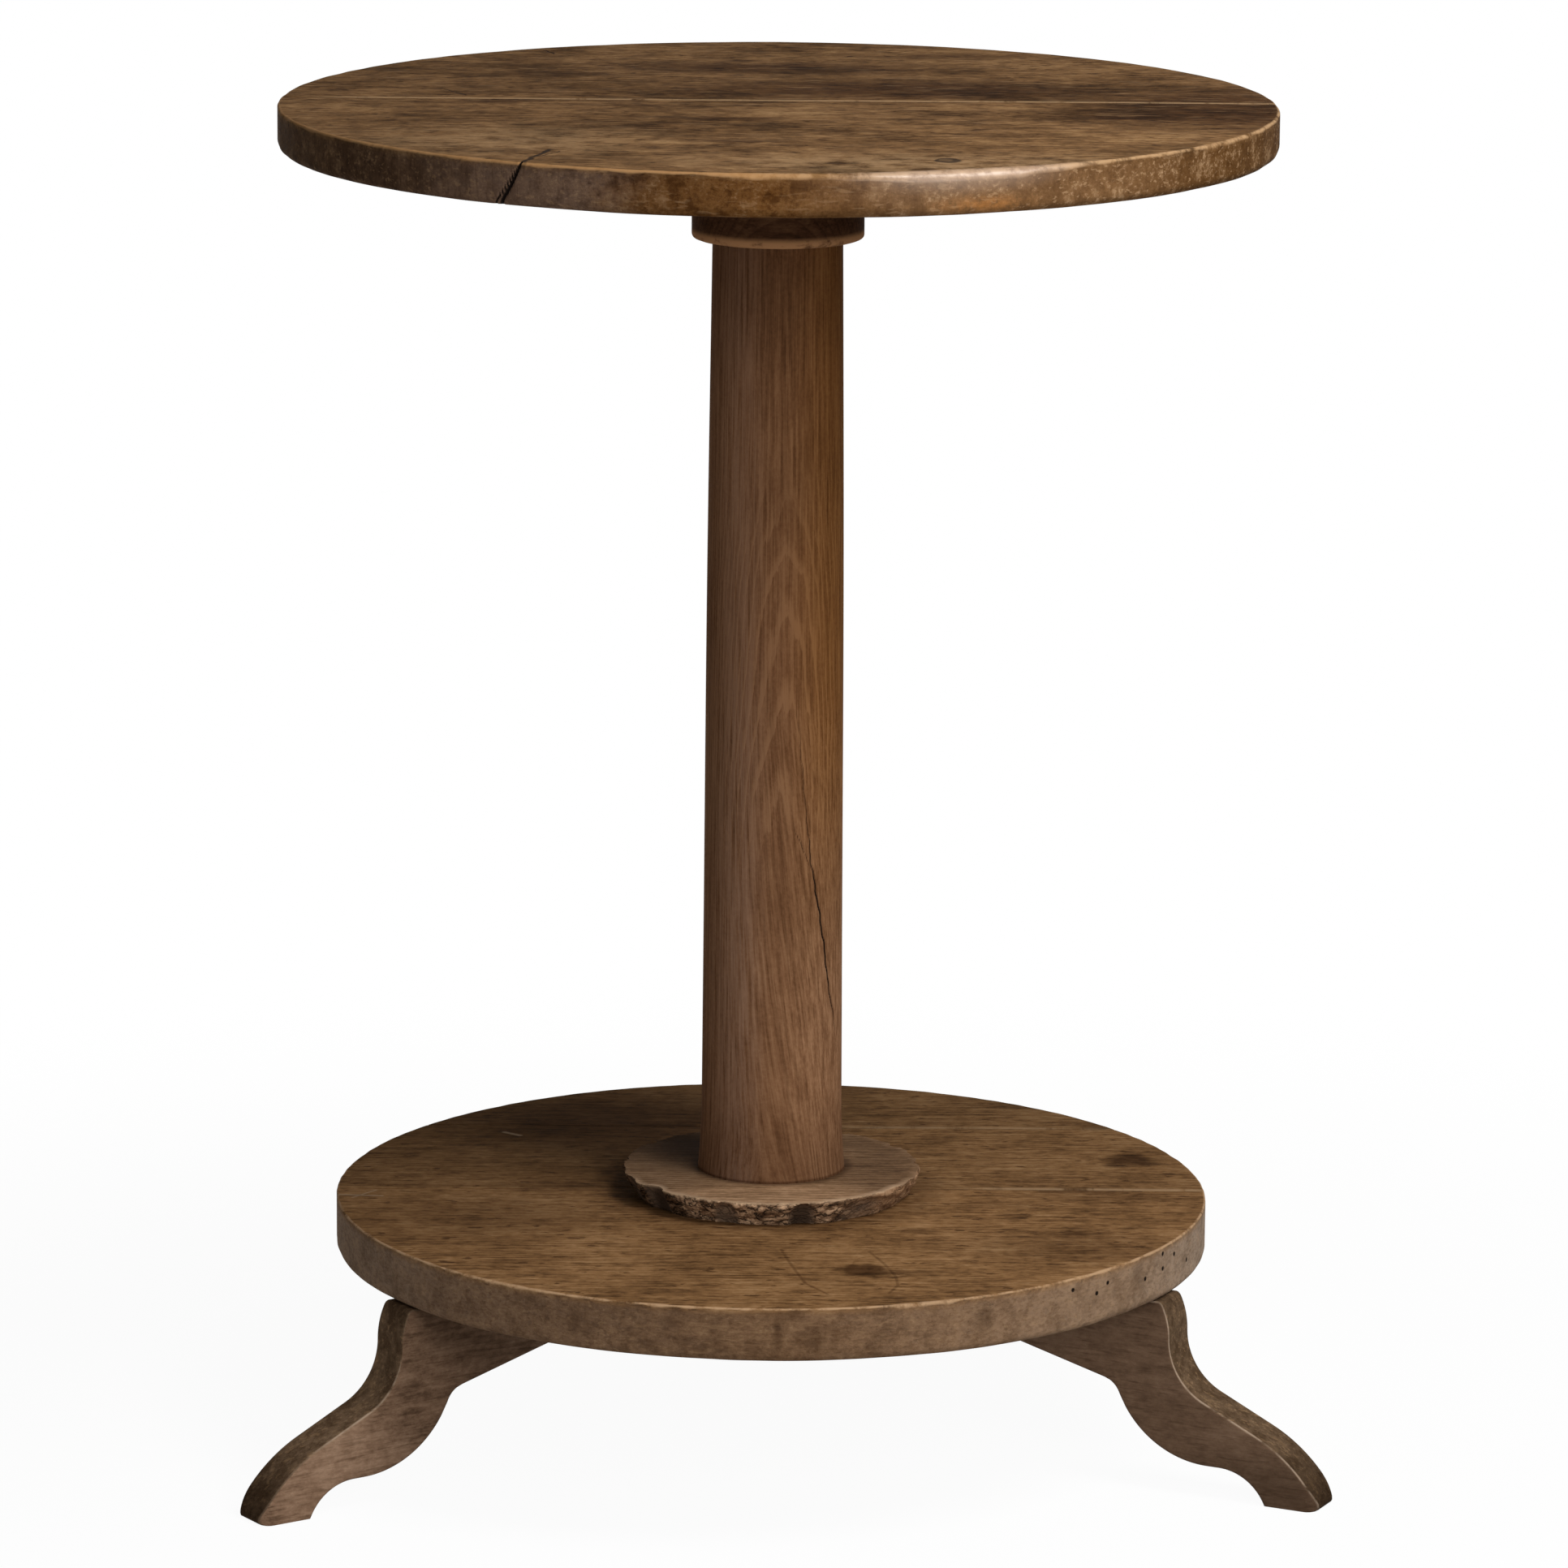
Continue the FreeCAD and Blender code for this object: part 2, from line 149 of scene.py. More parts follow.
class Wire:
    """An output socket. Operators add a Math node, or a Vector Math node where one side is a vector.

    The operator | takes the larger value of its two sides.
    """

    def __init__(self, graph, socket):
        self.graph = graph
        self.socket = socket

    def joined(self, operation, first, second):
        """One node that joins two sides, which are sockets, numbers or vectors."""
        kinds = [w.socket.type for w in (first, second) if isinstance(w, Wire)]
        spread = "VECTOR" in kinds or isinstance(first, tuple) or isinstance(second, tuple)
        kind = "ShaderNodeVectorMath" if spread else "ShaderNodeMath"
        return self.graph.node(kind, {"operation": operation}, {0: first, 1: second})

    def __add__(self, other):
        return self.joined("ADD", self, other)

    def __radd__(self, other):
        return self.joined("ADD", other, self)

    def __sub__(self, other):
        return self.joined("SUBTRACT", self, other)

    def __rsub__(self, other):
        return self.joined("SUBTRACT", other, self)

    def __mul__(self, other):
        return self.joined("MULTIPLY", self, other)

    def __rmul__(self, other):
        return self.joined("MULTIPLY", other, self)

    def __truediv__(self, other):
        return self.joined("DIVIDE", self, other)

    def __or__(self, other):
        return self.joined("MAXIMUM", self, other)


# %% Graphs of nodes


class Graph:
    """A tree of nodes: node() adds any node, and the other methods are steps that are often needed."""

    def __init__(self, tree):
        self.tree = tree

    def node(self, kind, settings=None, values=None, out=0):
        """One node: its settings are set first, then its sockets are given values or links."""
        made = self.tree.nodes.new(kind)
        for key, value in (settings or {}).items():
            if key == "stops":
                self.set_stops(made.color_ramp, value)
            else:
                setattr(made, key, value)
        for key, value in (values or {}).items():
            if isinstance(value, Wire):
                self.tree.links.new(value.socket, made.inputs[key])
            elif isinstance(value, tuple) and made.inputs[key].type == "RGBA":
                made.inputs[key].default_value = (*value, 1.0)
            else:
                made.inputs[key].default_value = value
        return Wire(self, made.outputs[out])

    @staticmethod
    def set_stops(ramp, stops):
        """Gives a colour ramp its stops, each a position and a colour."""
        while len(ramp.elements) < len(stops):
            ramp.elements.new(1.0)
        for element, (position, colour) in zip(ramp.elements, stops):
            element.position = position
            element.color = (*colour, 1.0)

    def step(self, value, low, high):
        """0 below low, 1 above high, and a smooth rise between. low may be the larger one."""
        return self.node("ShaderNodeMapRange", {"interpolation_type": "SMOOTHSTEP"}, {
            "Value": value, "From Min": low, "From Max": high})

    def mix(self, share, first, second, way="MIX"):
        """Colour between first and second."""
        return self.node("ShaderNodeMix", {"data_type": "RGBA", "blend_type": way}, {
            0: share, 6: first, 7: second}, out=2)

    def ramp(self, value, stops):
        """Colour that a value has between stops."""
        return self.node("ShaderNodeValToRGB", {"stops": stops}, {0: value})

    def part(self, vector, axis):
        """One coordinate of a vector."""
        return self.node("ShaderNodeSeparateXYZ", {}, {0: vector}, out=axis)

    def length(self, vector):
        """Length of a vector."""
        return self.node("ShaderNodeVectorMath", {"operation": "LENGTH"}, {0: vector}, out="Value")

    def strongest(self, marks):
        """Marks that lie over each other: at each point the strongest of them."""
        return reduce(or_, marks)

    def seen_directly(self):
        """1 for the camera and for reflections of what it sees, 0 for light that lights other things."""
        return self.strongest(self.node("ShaderNodeLightPath", out=f"Is {ray} Ray")
                              for ray in ("Camera", "Glossy", "Transmission"))


# %% Materials
DULL = 0.008
WAX_ROUGHNESS = 0.32
FLAT = (1.0, 1.0, 0.0)


class Finish(Graph):
    """A material under construction, with its colour so far.

    place is in millimetres about the axis, and grain is the same place with the grain along its own X.
    """

    def __init__(self, name, turn=(0.0, 0.0, 0.0), seed=0.0):
        self.material = bpy.data.materials.new(name)
        self.material.use_nodes = True
        super().__init__(self.material.node_tree)
        self.shader = self.tree.nodes["Principled BSDF"]
        coordinates = self.node("ShaderNodeTexCoord", out="Object")
        self.place = self.node("ShaderNodeMapping", {}, {
            "Vector": coordinates, "Location": tuple(-AXIS), "Scale": (1 / MM, 1 / MM, 1 / MM)})
        self.grain = self.node("ShaderNodeMapping", {}, {
            "Vector": self.place, "Rotation": turn, "Location": (0.0, seed, seed)})
        self.x, self.y, self.z = (self.part(self.place, axis) for axis in range(3))
        self.colour = None

    def paint(self, share, colour):
        """Lays a colour over the one so far."""
        self.colour = self.mix(share, self.colour, colour)

    def shade(self, share, colour):
        """Multiplies the colour so far by another, which darkens below 1 and brightens above it."""
        self.colour = self.mix(share, self.colour, colour, "MULTIPLY")

    def noise(self, vector, size, detail=3.0, rough=0.55):
        """Cloudy pattern from 0 to 1 whose patches are about size millimetres wide."""
        return self.node("ShaderNodeTexNoise", {}, {
            "Vector": vector, "Scale": 1.0 / size, "Detail": detail, "Roughness": rough})

    def worn(self, name):
        """A mask that the mesh carries, one value at each vertex."""
        return self.node("ShaderNodeAttribute", {"attribute_name": name}, out="Fac")

    def ragged(self, scale, detail, reach):
        """Place on a face, pushed to and fro by noise, so that marks drawn there get ragged outlines."""
        push = self.node("ShaderNodeTexNoise", {}, {
            "Vector": self.place, "Scale": scale, "Detail": detail}, out="Color")
        return (self.place + (push - (0.5, 0.5, 0.5)) * reach) * FLAT

    def spot(self, place, centre, radii, soft=0.5):
        """Oval mark: 1 inside, fading out over the outer part of its radii."""
        away = (place - centre) * tuple(1.0 / r for r in radii)
        return self.step(self.length(away), 1.0, 1.0 - soft)

    def stroke(self, place, start, end, width):
        """Line mark: 1 on the line from start to end, 0 at its width. The nearest point on the line is found
        by projecting onto it and stopping at its ends."""
        along = np.subtract(end, start)
        offset = place - tuple(start)
        share = self.node("ShaderNodeVectorMath", {"operation": "DOT_PRODUCT"}, {
            0: offset, 1: tuple(along / (along @ along))}, out="Value")
        held = self.node("ShaderNodeMath", {"operation": "ADD", "use_clamp": True}, {0: share, 1: 0.0})
        foot = self.node("ShaderNodeVectorMath", {"operation": "SCALE"}, {0: tuple(along), "Scale": held})
        return self.step(self.length(offset - foot), width, 0.2 * width)

    def stains(self, place, ovals):
        """Stains on a face. Each has its middle, its half width and depth, its strength and its softness."""
        return self.strongest(self.spot(place, (x, y, 0.0), (half, deep, 1.0), soft) * strength
                              for x, y, half, deep, strength, soft in ovals)

    def lines(self, place, strokes):
        """Cracks and scratches on a face. Each has its two ends, its width and its strength."""
        return self.strongest(self.stroke(place, (*start, 0.0), (*end, 0.0), width) * strength
                              for start, end, width, strength in strokes)

    def done(self, roughness, height, relief, coat=None):
        """Links the finish to its shader. relief is how deep the height pattern is, in millimetres."""
        bump = self.node("ShaderNodeBump", {}, {
            "Height": height, "Distance": relief * MM, "Strength": 1.0}, out="Normal")
        wires = {"Base Color": self.colour, "Roughness": roughness, "Normal": bump, "Coat Weight": coat}
        for socket, wire in wires.items():
            if wire is not None:
                self.tree.links.new(wire.socket, self.shader.inputs[socket])
        self.shader.inputs["Specular IOR Level"].default_value = DULL
        self.shader.inputs["Coat Roughness"].default_value = WAX_ROUGHNESS
        print("finish", self.material.name, "nodes", len(self.tree.nodes))
        return self.material


# %% [markdown]
# ## Old wood
# All the pieces are the same kind of old hardwood, so one function gives their common figure. A tree grows
# in rings about its pith. A board cuts those rings, so the figure on its face is the distance from a pith
# that lies somewhere below it. Fibres and streaks are noise that is drawn out along the grain, and patina
# is broad noise.

# %% The figure of old wood


def old_wood(f, shades, pith, ring_width, wander=10.0, rings_show=0.5, patina=0.5,
             shares=(0.24, 0.16, 0.31, 0.16), lean=(0.0, 0.0), flecks=(0.06, 0.16), pores=0.4,
             fibre=(2.2, 0.06), pore=(1.7, 0.1), patch=(11.0, 0.45), cloud=0.35):
    """Gives a finish the colour of old wood, and returns its roughness, height and patterns.

    rings = distance from the pith, pushed to and fro by wander along the grain, over the ring width. Each
    ring darkens slowly and ends at once. rings_show is how strongly, and below zero the rings are paler than
    the wood. patina is how dark the dirt between the clouds is. shares are how much fibres, streaks, mottling
    and clouds add to the figure. flecks are dark dashes: how strong and how drawn out. pores are how strong
    the finer ones are. fibre, pore and patch give the width of a fibre, a pore and a patch of mottling, and
    how drawn out they are, and cloud how drawn out the clouds are: below 1 along the grain, above 1 across
    it. lean tips the pith as it goes along the grain.
    """
    grain = f.grain

    def drawn_out(size, stretch, detail, rough):
        """Noise whose places along the grain are multiplied by a stretch."""
        return f.noise(grain * (stretch, 1.0, 1.0), size, detail, rough)

    fibres = drawn_out(*fibre, 5.0, 0.7)
    streaks = drawn_out(8.0, 0.07, 4.0, 0.62)
    mottle = drawn_out(*patch, 6.0, 0.7)
    fine = drawn_out(*pore, 2.0, 0.5)
    grit = drawn_out(1.1 * pore[0], 0.6, 3.0, 0.65)
    clouds = drawn_out(60.0, cloud, 4.0, 0.6)
    push = f.noise(grain * (1.0, 0.25, 0.25), 130.0, 2.0, 0.5) - 0.5
    tipped = f.node("ShaderNodeVectorMath", {"operation": "SCALE"}, {
        0: (0.0, *lean), "Scale": f.part(grain, 0)})
    across = (grain - (0.0, *pith) - tipped) * (0.0, 1.0, 1.0)
    rings = (f.length(across) + push * (2.0 * wander) + streaks * 2.0) / ring_width
    share = f.node("ShaderNodeMath", {"operation": "FRACT"}, {0: rings})
    late = f.step(share, 0.55, 0.92) * f.step(share, 1.0, 0.95) * rings_show
    dashes = f.step(drawn_out(5.0, flecks[1], 3.0, 0.55), 0.62, 0.72)
    figure = fibres * shares[0] + streaks * shares[1] + mottle * shares[2] + clouds * shares[3]
    tone = figure + grit * 0.18 - 0.03 - late * 0.1 - dashes * flecks[0]
    f.colour = f.ramp(tone, shades)
    f.shade(f.step(fine, 0.55, 0.68) * pores, (0.40, 0.36, 0.32))
    dirt = f.step(clouds, 0.62, 0.3) * patina
    f.shade(dirt, (0.45, 0.42, 0.38))
    roughness = 0.58 + fibres * 0.16 + dirt * 0.1
    height = fibres * 0.5 - late * 0.35 - dashes * 0.5
    return {"roughness": roughness, "height": height, "clouds": clouds, "fibres": fibres, "mottle": mottle}


def shades_of(dark, middle, light):
    """Stops of a wood's colour from its dark streaks to its pale ones."""
    return [(0.39, dark), (0.49, middle), (0.60, light)]


# %% [markdown]
# ## From arrays to pieces
# Every piece below is a grid of points: two parameters go in, a place in space comes out. The same few
# lines turn such a grid into a mesh, close its poles and its ends, point its faces outwards and set it on
# the frame.

# %% Make a mesh from a grid of points
SHARP = math.radians(38)


def grid_faces(rows, columns, rows_close=False):
    """Quads between neighbouring points of a grid whose columns close into a loop."""
    index = np.arange(rows * columns).reshape(rows, columns)
    index = np.column_stack([index, index[:, :1]])
    if rows_close:
        index = np.vstack([index, index[:1]])
    return np.stack([index[:-1, :-1], index[:-1, 1:], index[1:, 1:], index[1:, :-1]], -1).reshape(-1, 4)


def piece(name, grid, masks, nodes, slot, material, rows_close=False, caps=(False, False)):
    """Object from a grid in millimetres about the axis. masks are values at its points, caps closed ends."""
    rows, columns = grid.shape[:2]
    faces = grid_faces(rows, columns, rows_close).tolist()
    if caps[0]:
        faces.append(list(range(columns)))
    if caps[1]:
        faces.append(list(range((rows - 1) * columns, rows * columns)))
    mesh = bpy.data.meshes.new(name)
    mesh.from_pydata(((grid.reshape(-1, 3) + AXIS) * MM).tolist(), [], faces)
    for mask, values in masks.items():
        layer = mesh.attributes.new(mask, "FLOAT", "POINT")
        layer.data.foreach_set("value", np.broadcast_to(values, (rows, columns)).astype(np.float32).ravel())
    shell = bmesh.new()
    shell.from_mesh(mesh)
    bmesh.ops.remove_doubles(shell, verts=shell.verts, dist=1e-6)
    bmesh.ops.recalc_face_normals(shell, faces=shell.faces)
    shell.to_mesh(mesh)
    shell.free()
    mesh.shade_smooth()
    mesh.set_sharp_from_angle(angle=SHARP)
    mesh.materials.append(material)
    made = bpy.data.objects.new(name, mesh)
    bpy.context.scene.collection.objects.link(made)
    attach(made, "root")
    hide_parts(*nodes)
    triangles = sum(len(face.vertices) - 2 for face in mesh.polygons)
    print("piece", name, "triangles", triangles)
    return made


# %% Ripples and bumps


def ripples(angle, waves, low, high, seed):
    """Sum of sine waves. Each goes round a whole number of times between low and high, so that it closes."""
    random = np.random.default_rng(seed)
    turns = random.integers(low, high, waves)
    starts = random.uniform(0, 2 * math.pi, waves)
    return np.sin(np.multiply.outer(angle, turns) + starts).sum(-1) / math.sqrt(waves)


def bumps(angle, places):
    """Sum of soft humps round a rim. A place gives an angle and a half width in degrees, and a height."""
    total = np.zeros_like(angle)
    for middle, half, height in places:
        total = total + height * np.exp(-((np.degrees(angle) - middle) / half) ** 2)
    return total


# %% [markdown]
# ## Boards of a round
# A round top is glued up from boards, sawn round, and then lives for a century: its upper edge wears and
# chips and its lower edge is rounded by hands. A bevelled cylinder, cut in two, would do for a new top, but
# its edge is the same all round. Here a board is a stack of slices, so that its edge can differ at each of
# them. A slice runs along the grain: flat above and below, with the rim's profile at its two ends.

# %% Slices of a board
ROUND_STEPS = 9
SIDE_STEPS = 9
JOINT_EASE = 1.1
RIM_BLEND = 4.0


def row_angles(radius, near, far, count, close_ups):
    """Angles from the front at which the slices meet the rim: even steps, and finer ones in the close-ups."""
    first = 0.0 if near is None else math.acos(-near / radius)
    last = math.pi if far is None else math.acos(-far / radius)
    spans = [np.linspace(first, last, count)]
    for middle, half, steps in close_ups:
        spans.append(np.radians(np.linspace(middle - half, middle + half, steps)))
    return np.unique(np.concatenate(spans).clip(first, last))


def rim_profile(upper, lower, thickness):
    """Inset from the rim and drop below the face: a quarter round, a straight side and a quarter round."""
    turn = np.linspace(0, math.pi / 2, ROUND_STEPS)
    side = np.linspace(0, 1, SIDE_STEPS)[1:-1]
    upper, lower = upper[:, None], lower[:, None]
    straight = thickness - upper - lower
    inset = [upper * (1 - np.sin(turn)), 0 * (upper * side), lower * (1 - np.cos(turn))]
    drop = [upper * (1 - np.cos(turn)), upper + straight * side, thickness - lower * (1 - np.sin(turn))]
    wear = [np.sin(2 * turn) + 0 * upper, 0 * (upper * side), 0 * (lower * turn)]
    return tuple(np.concatenate(parts, axis=1) for parts in (inset, drop, wear))


def fitted(y, near, far):
    """Stretches each column of y so that its first and last slice lie just inside the joints."""
    first, last = y[:1], y[-1:]
    start = first if near is None else near + JOINT_EASE
    end = last if far is None else far - JOINT_EASE
    return start + (y - first) * (end - start) / (last - first)


def rim_side(side, measures, angles, near, far, rim):
    """Points down the rim at one end of each slice, with how worn, cracked and upright they are."""
    angle = side * angles
    thickness = measures["face"] - measures["floor"]
    inset, drop, wear = rim_profile(rim["upper"](angle), rim["lower"](angle), thickness)
    crack = rim["crack"](angle[:, None], drop)
    radius = measures["radius"] - inset + rim["swell"](angle)[:, None] - crack
    y = fitted(-radius * np.cos(angles)[:, None], near, far)
    x = side * np.sqrt(np.clip(radius ** 2 - y ** 2, 0, None))
    points = np.stack([x, y, measures["face"] - drop], -1)
    upright = np.clip(drop / RIM_BLEND, 0, 1)
    return points, wear, crack, upright


# %% A whole board
FACE_COLUMNS = 130
EASE_STEPS = ((0.6, 0.12), (0.88, 0.45), (1.0, 1.0))


def eased_ends(grid, masks, near, far):
    """Adds slices with eased edges at the joints: each is moved towards the joint and shrunk a little."""
    middle = (grid[..., 2].max() + grid[..., 2].min()) / 2
    half = (grid[..., 2].max() - grid[..., 2].min()) / 2

    def extra(row, direction):
        """Copies of a slice, moved on and shrunk towards its middle by each step of the ease."""
        rows = []
        for on, shrink in EASE_STEPS:
            new = row.copy()
            new[:, 1] += direction * on * JOINT_EASE
            new[:, 2] = middle + (row[:, 2] - middle) * (1 - shrink * JOINT_EASE / half)
            new[:, 0] = row[:, 0] * (1 - shrink * JOINT_EASE / np.abs(row[:, 0]).max())
            rows.append(new)
        return np.stack(rows)

    more = (len(EASE_STEPS) * (near is not None), len(EASE_STEPS) * (far is not None))
    masks = {key: np.pad(mask, (more, (0, 0)), mode="edge") for key, mask in masks.items()}
    if near is not None:
        grid = np.concatenate([extra(grid[0], -1)[::-1], grid])
    if far is not None:
        grid = np.concatenate([grid, extra(grid[-1], 1)])
    return grid, masks


def around(face, right, under, left):
    """Values in a loop round each slice: over the face, down the right end, back below, up the left end."""
    return np.concatenate([face, right, under, left[:, ::-1]], axis=1)


def board(name, node, measures, near, far, rim, slot, material, close_ups=(), count=200):
    """A board between two joints, or between a joint and the rim where near or far is None."""
    angles = row_angles(measures["radius"], near, far, count, close_ups)
    left, wear_left, crack_left, upright_left = rim_side(-1, measures, angles, near, far, rim)
    right, wear_right, crack_right, upright_right = rim_side(1, measures, angles, near, far, rim)
    share = np.linspace(0, 1, FACE_COLUMNS)[1:-1][:, None]
    face = left[:, :1] * (1 - share) + right[:, :1] * share
    face[..., 2] += np.sin(math.pi * share[:, 0]) * rim["hollow"](face[..., 0], face[..., 1])
    under = right[:, -1:] * (1 - share) + left[:, -1:] * share
    flat = np.zeros(face.shape[:2])
    masks = {
        "wear": around(flat, wear_right, flat, wear_left),
        "crack": around(flat, crack_right, flat, crack_left),
        "rim": around(flat, upright_right, flat + 1, upright_left),
        "under": around(flat, 0 * wear_right, flat + 1, 0 * wear_left),
    }
    grid, masks = eased_ends(around(face, right, under, left), masks, near, far)
    caps = (near is not None, far is not None)
    return piece(name, grid, masks, [node], slot, material, caps=caps)


# %% Values round a rim and over a face


def round_a_rim(base, places, *waves):
    """A value round a rim: a base, soft humps at places, and waves, each a height and a set of ripples."""
    def value(angle):
        rippled = sum(height * ripples(angle, *wave) for height, *wave in waves)
        return base + bumps(angle, places) + rippled
    return value


def no_crack(angle, drop):
    """A rim without cracks."""
    return np.zeros(np.broadcast(angle, drop).shape)


def slow_hollows(depth, seed):
    """Height of a face that has moved over the years: a few long waves, lying mostly along the grain."""
    random = np.random.default_rng(seed)
    along, over = random.uniform(0.004, 0.02, 7), random.uniform(0.01, 0.06, 7)
    starts = random.uniform(0, 2 * math.pi, 7)

    def height(x, y):
        return depth * np.sin(np.multiply.outer(x, along) + np.multiply.outer(y, over) + starts).mean(-1)
    return height


# %% [markdown]
# ## Top
# The rim of the top is deepest worn right of the middle, where its edge has become a broad soft round. Left
# of the middle a crack runs down the rim, leaning left, and on into the face. It is a real groove here, so
# the slices stand closer together round it.

# %% Shape of the top's rim
CRACK_AT_FACE = -29.35
CRACK_CLOSE_UP = (30.6, 2.4, 60)


def top_crack(angle, drop):
    """Depth of the crack: two narrow grooves that part on their way down and lean left."""
    path = np.radians(CRACK_AT_FACE - 0.085 * drop - 0.0018 * drop ** 2)
    along = TOP["radius"] * (angle - path)
    main = 2.6 * np.exp(-(along / (0.60 + 0.020 * drop)) ** 2)
    second = 1.8 * np.exp(-((along + 0.6 + 0.13 * drop) / 0.55) ** 2) * np.clip(drop / 6, 0, 1)
    return np.maximum(main, second)


TOP_RIM = {
    "upper": round_a_rim(1.7, [(20, 13, 4.4), (0, 7, 0.8), (-2.5, 1.2, 0.7), (27.5, 1.0, 0.8), (62, 9, 0.8),
                               (-27, 1.3, 0.8), (-38, 2.0, 0.5)], (0.28, 16, 9, 90, 3)),
    "lower": round_a_rim(5.2, [], (0.5, 8, 3, 24, 4)),
    "swell": round_a_rim(0.0, [], (0.45, 5, 2, 7, 5), (0.12, 12, 14, 80, 6)),
    "crack": top_crack,
    "hollow": slow_hollows(0.5, 11),
}
print("crack in the top at", CRACK_AT_FACE, "degrees")

# %% [markdown]
# The face of the top is dark where wax and wine have gone in and pale where arms have rubbed. Marks that
# anyone would know this table by are drawn in their own places: the crack, an oval knot, a long scratch,
# the pale joint.

# %% Colours and marks of the top
UMBER = (0.046, 0.022, 0.008)
WALNUT = (0.172, 0.090, 0.037)
TAN = (0.330, 0.198, 0.088)
WORN_EDGE = (0.40, 0.25, 0.13)
SOOT = (0.012, 0.008, 0.006)
GREYED = (0.122, 0.076, 0.054)
BURNT = (0.098, 0.041, 0.012)
HANDLED = (0.158, 0.081, 0.034)
SAW_MARK = (0.52, 0.47, 0.43)
FACE_TURNS = [(0.0, 0.0, 0.12), (0.0, 0.0, -0.3)]
RIM_FROM_LEFT = [
    (0.0, (0.050, 0.028, 0.016)), (0.14, (0.060, 0.034, 0.021)), (0.22, GREYED), (0.32, GREYED),
    (0.38, BURNT), (0.48, (0.122, 0.050, 0.012)), (0.62, HANDLED), (0.80, HANDLED),
    (0.92, (0.092, 0.041, 0.012)), (1.0, (0.056, 0.026, 0.009))]
TOP_SPAN = 540.0
TOP_STAIN_SOFT = 0.75
TOP_STAINS = [
    (62.0, 58.0, 190.0, 66.0, 1.0), (186.0, -44.0, 50.0, 20.0, 1.0), (-25.0, -62.0, 44.0, 11.0, 0.8),
    (-150.0, 4.0, 40.0, 11.0, 0.8), (-138.0, -188.0, 30.0, 12.0, 0.7), (0.0, 150.0, 150.0, 40.0, 0.9),
    (-120.0, 120.0, 60.0, 18.0, 0.6), (95.0, 205.0, 70.0, 18.0, 0.7), (-20.0, -148.0, 40.0, 9.0, 0.8),
    (40.0, -105.0, 34.0, 8.0, 0.6), (-70.0, -10.0, 30.0, 7.0, 0.7), (-92.0, -95.0, 24.0, 7.0, 0.6),
    (245.0, -5.0, 130.0, 130.0, 1.0), (120.0, -120.0, 40.0, 8.0, 0.5)]
TOP_LINES = [
    ((-130.7, -236.0), (-124.5, -212.0), 2.4, 1.0), ((-124.5, -212.0), (-116.5, -184.0), 1.8, 1.0),
    ((-128.0, -222.0), (-112.0, -190.0), 0.8, 0.8), ((126.5, -25.8), (180.0, -45.0), 0.9, 0.5),
    ((180.0, -45.0), (222.0, -73.0), 1.1, 0.85), ((-131.0, 221.0), (-125.0, 205.0), 1.0, 1.0),
    ((-180.0, 50.0), (-167.0, 27.0), 0.9, 0.85), ((-36.0, -164.0), (-29.0, -170.0), 1.4, 1.0),
    ((-152.0, -196.0), (-141.0, -190.0), 1.6, 0.8), ((26.0, -227.0), (39.0, -226.0), 1.6, 0.6)]
print("marks on the top:", len(TOP_STAINS), "stains and", len(TOP_LINES), "lines")

# %% Worn joints, scratches and handled edges
RUBBED = (0.32, 0.197, 0.103)
FLAKED = (0.40, 0.255, 0.145)
SCRATCH_TURNS = [(0.3, 0.9, 0.4), (1.2, -0.5, 0.7)]
SWAY = 60.0


def joint_line(f, joint, lit_from, lit_to):
    """Worn arris of a joint along X: pale close behind it, broken up along its length."""
    behind = f.y - joint
    breaks = f.noise(f.place * (1.0, 0.02, 0.02), 16.0, 4.0, 0.7)
    reach = f.step(f.x, lit_from, lit_from + 40.0) * f.step(f.x, lit_to, lit_to - 90.0)
    pale = f.step(behind, -0.9, 0.6) * f.step(behind, 6.5, 1.4) * f.step(breaks, 0.3, 0.5) * reach
    seam = f.step(behind, -0.8, -0.1) * f.step(behind, 0.8, 0.1)
    return pale, seam


def scratched(f, turns, where, colour):
    """Fine scratches in a few directions. Each turn leans a noise that is drawn out ten times one way."""
    for turn in turns:
        across = f.node("ShaderNodeMapping", {}, {
            "Vector": f.place, "Rotation": turn, "Scale": (0.1, 1.0, 1.0)})
        marks = f.step(f.noise(across, 2.6, 2.0, 0.5), 0.63, 0.70)
        f.paint(where * marks, colour)


def handled(f, where, darker, paler):
    """An edge that hands have held: patches of gathered wax, patches rubbed bare, and scratches."""
    patches = f.noise(f.place, 13.0, 6.0, 0.74)
    f.shade(where * f.step(patches, 0.53, 0.40) * darker, (0.40, 0.34, 0.28))
    f.paint(where * f.step(patches, 0.53, 0.66) * paler, RUBBED)
    flakes = f.noise(f.place * (0.7, 0.7, 1.0), 1.7, 3.0, 0.65)
    rough = f.step(patches, 0.42, 0.62)
    f.shade(where * f.step(flakes, 0.46, 0.36) * darker * 0.5, (0.32, 0.27, 0.22))
    f.paint(where * rough * f.step(flakes, 0.55, 0.66) * paler, FLAKED)
    scratched(f, SCRATCH_TURNS, where * paler, RUBBED)
    return (patches + flakes * 0.3) * where


def uneven_x(f, wood):
    """Place from left to right, swaying with the mottling, so that what it parts has no straight edge."""
    return f.x + (wood["mottle"] - 0.5) * SWAY


# %% Rim and marks of the top


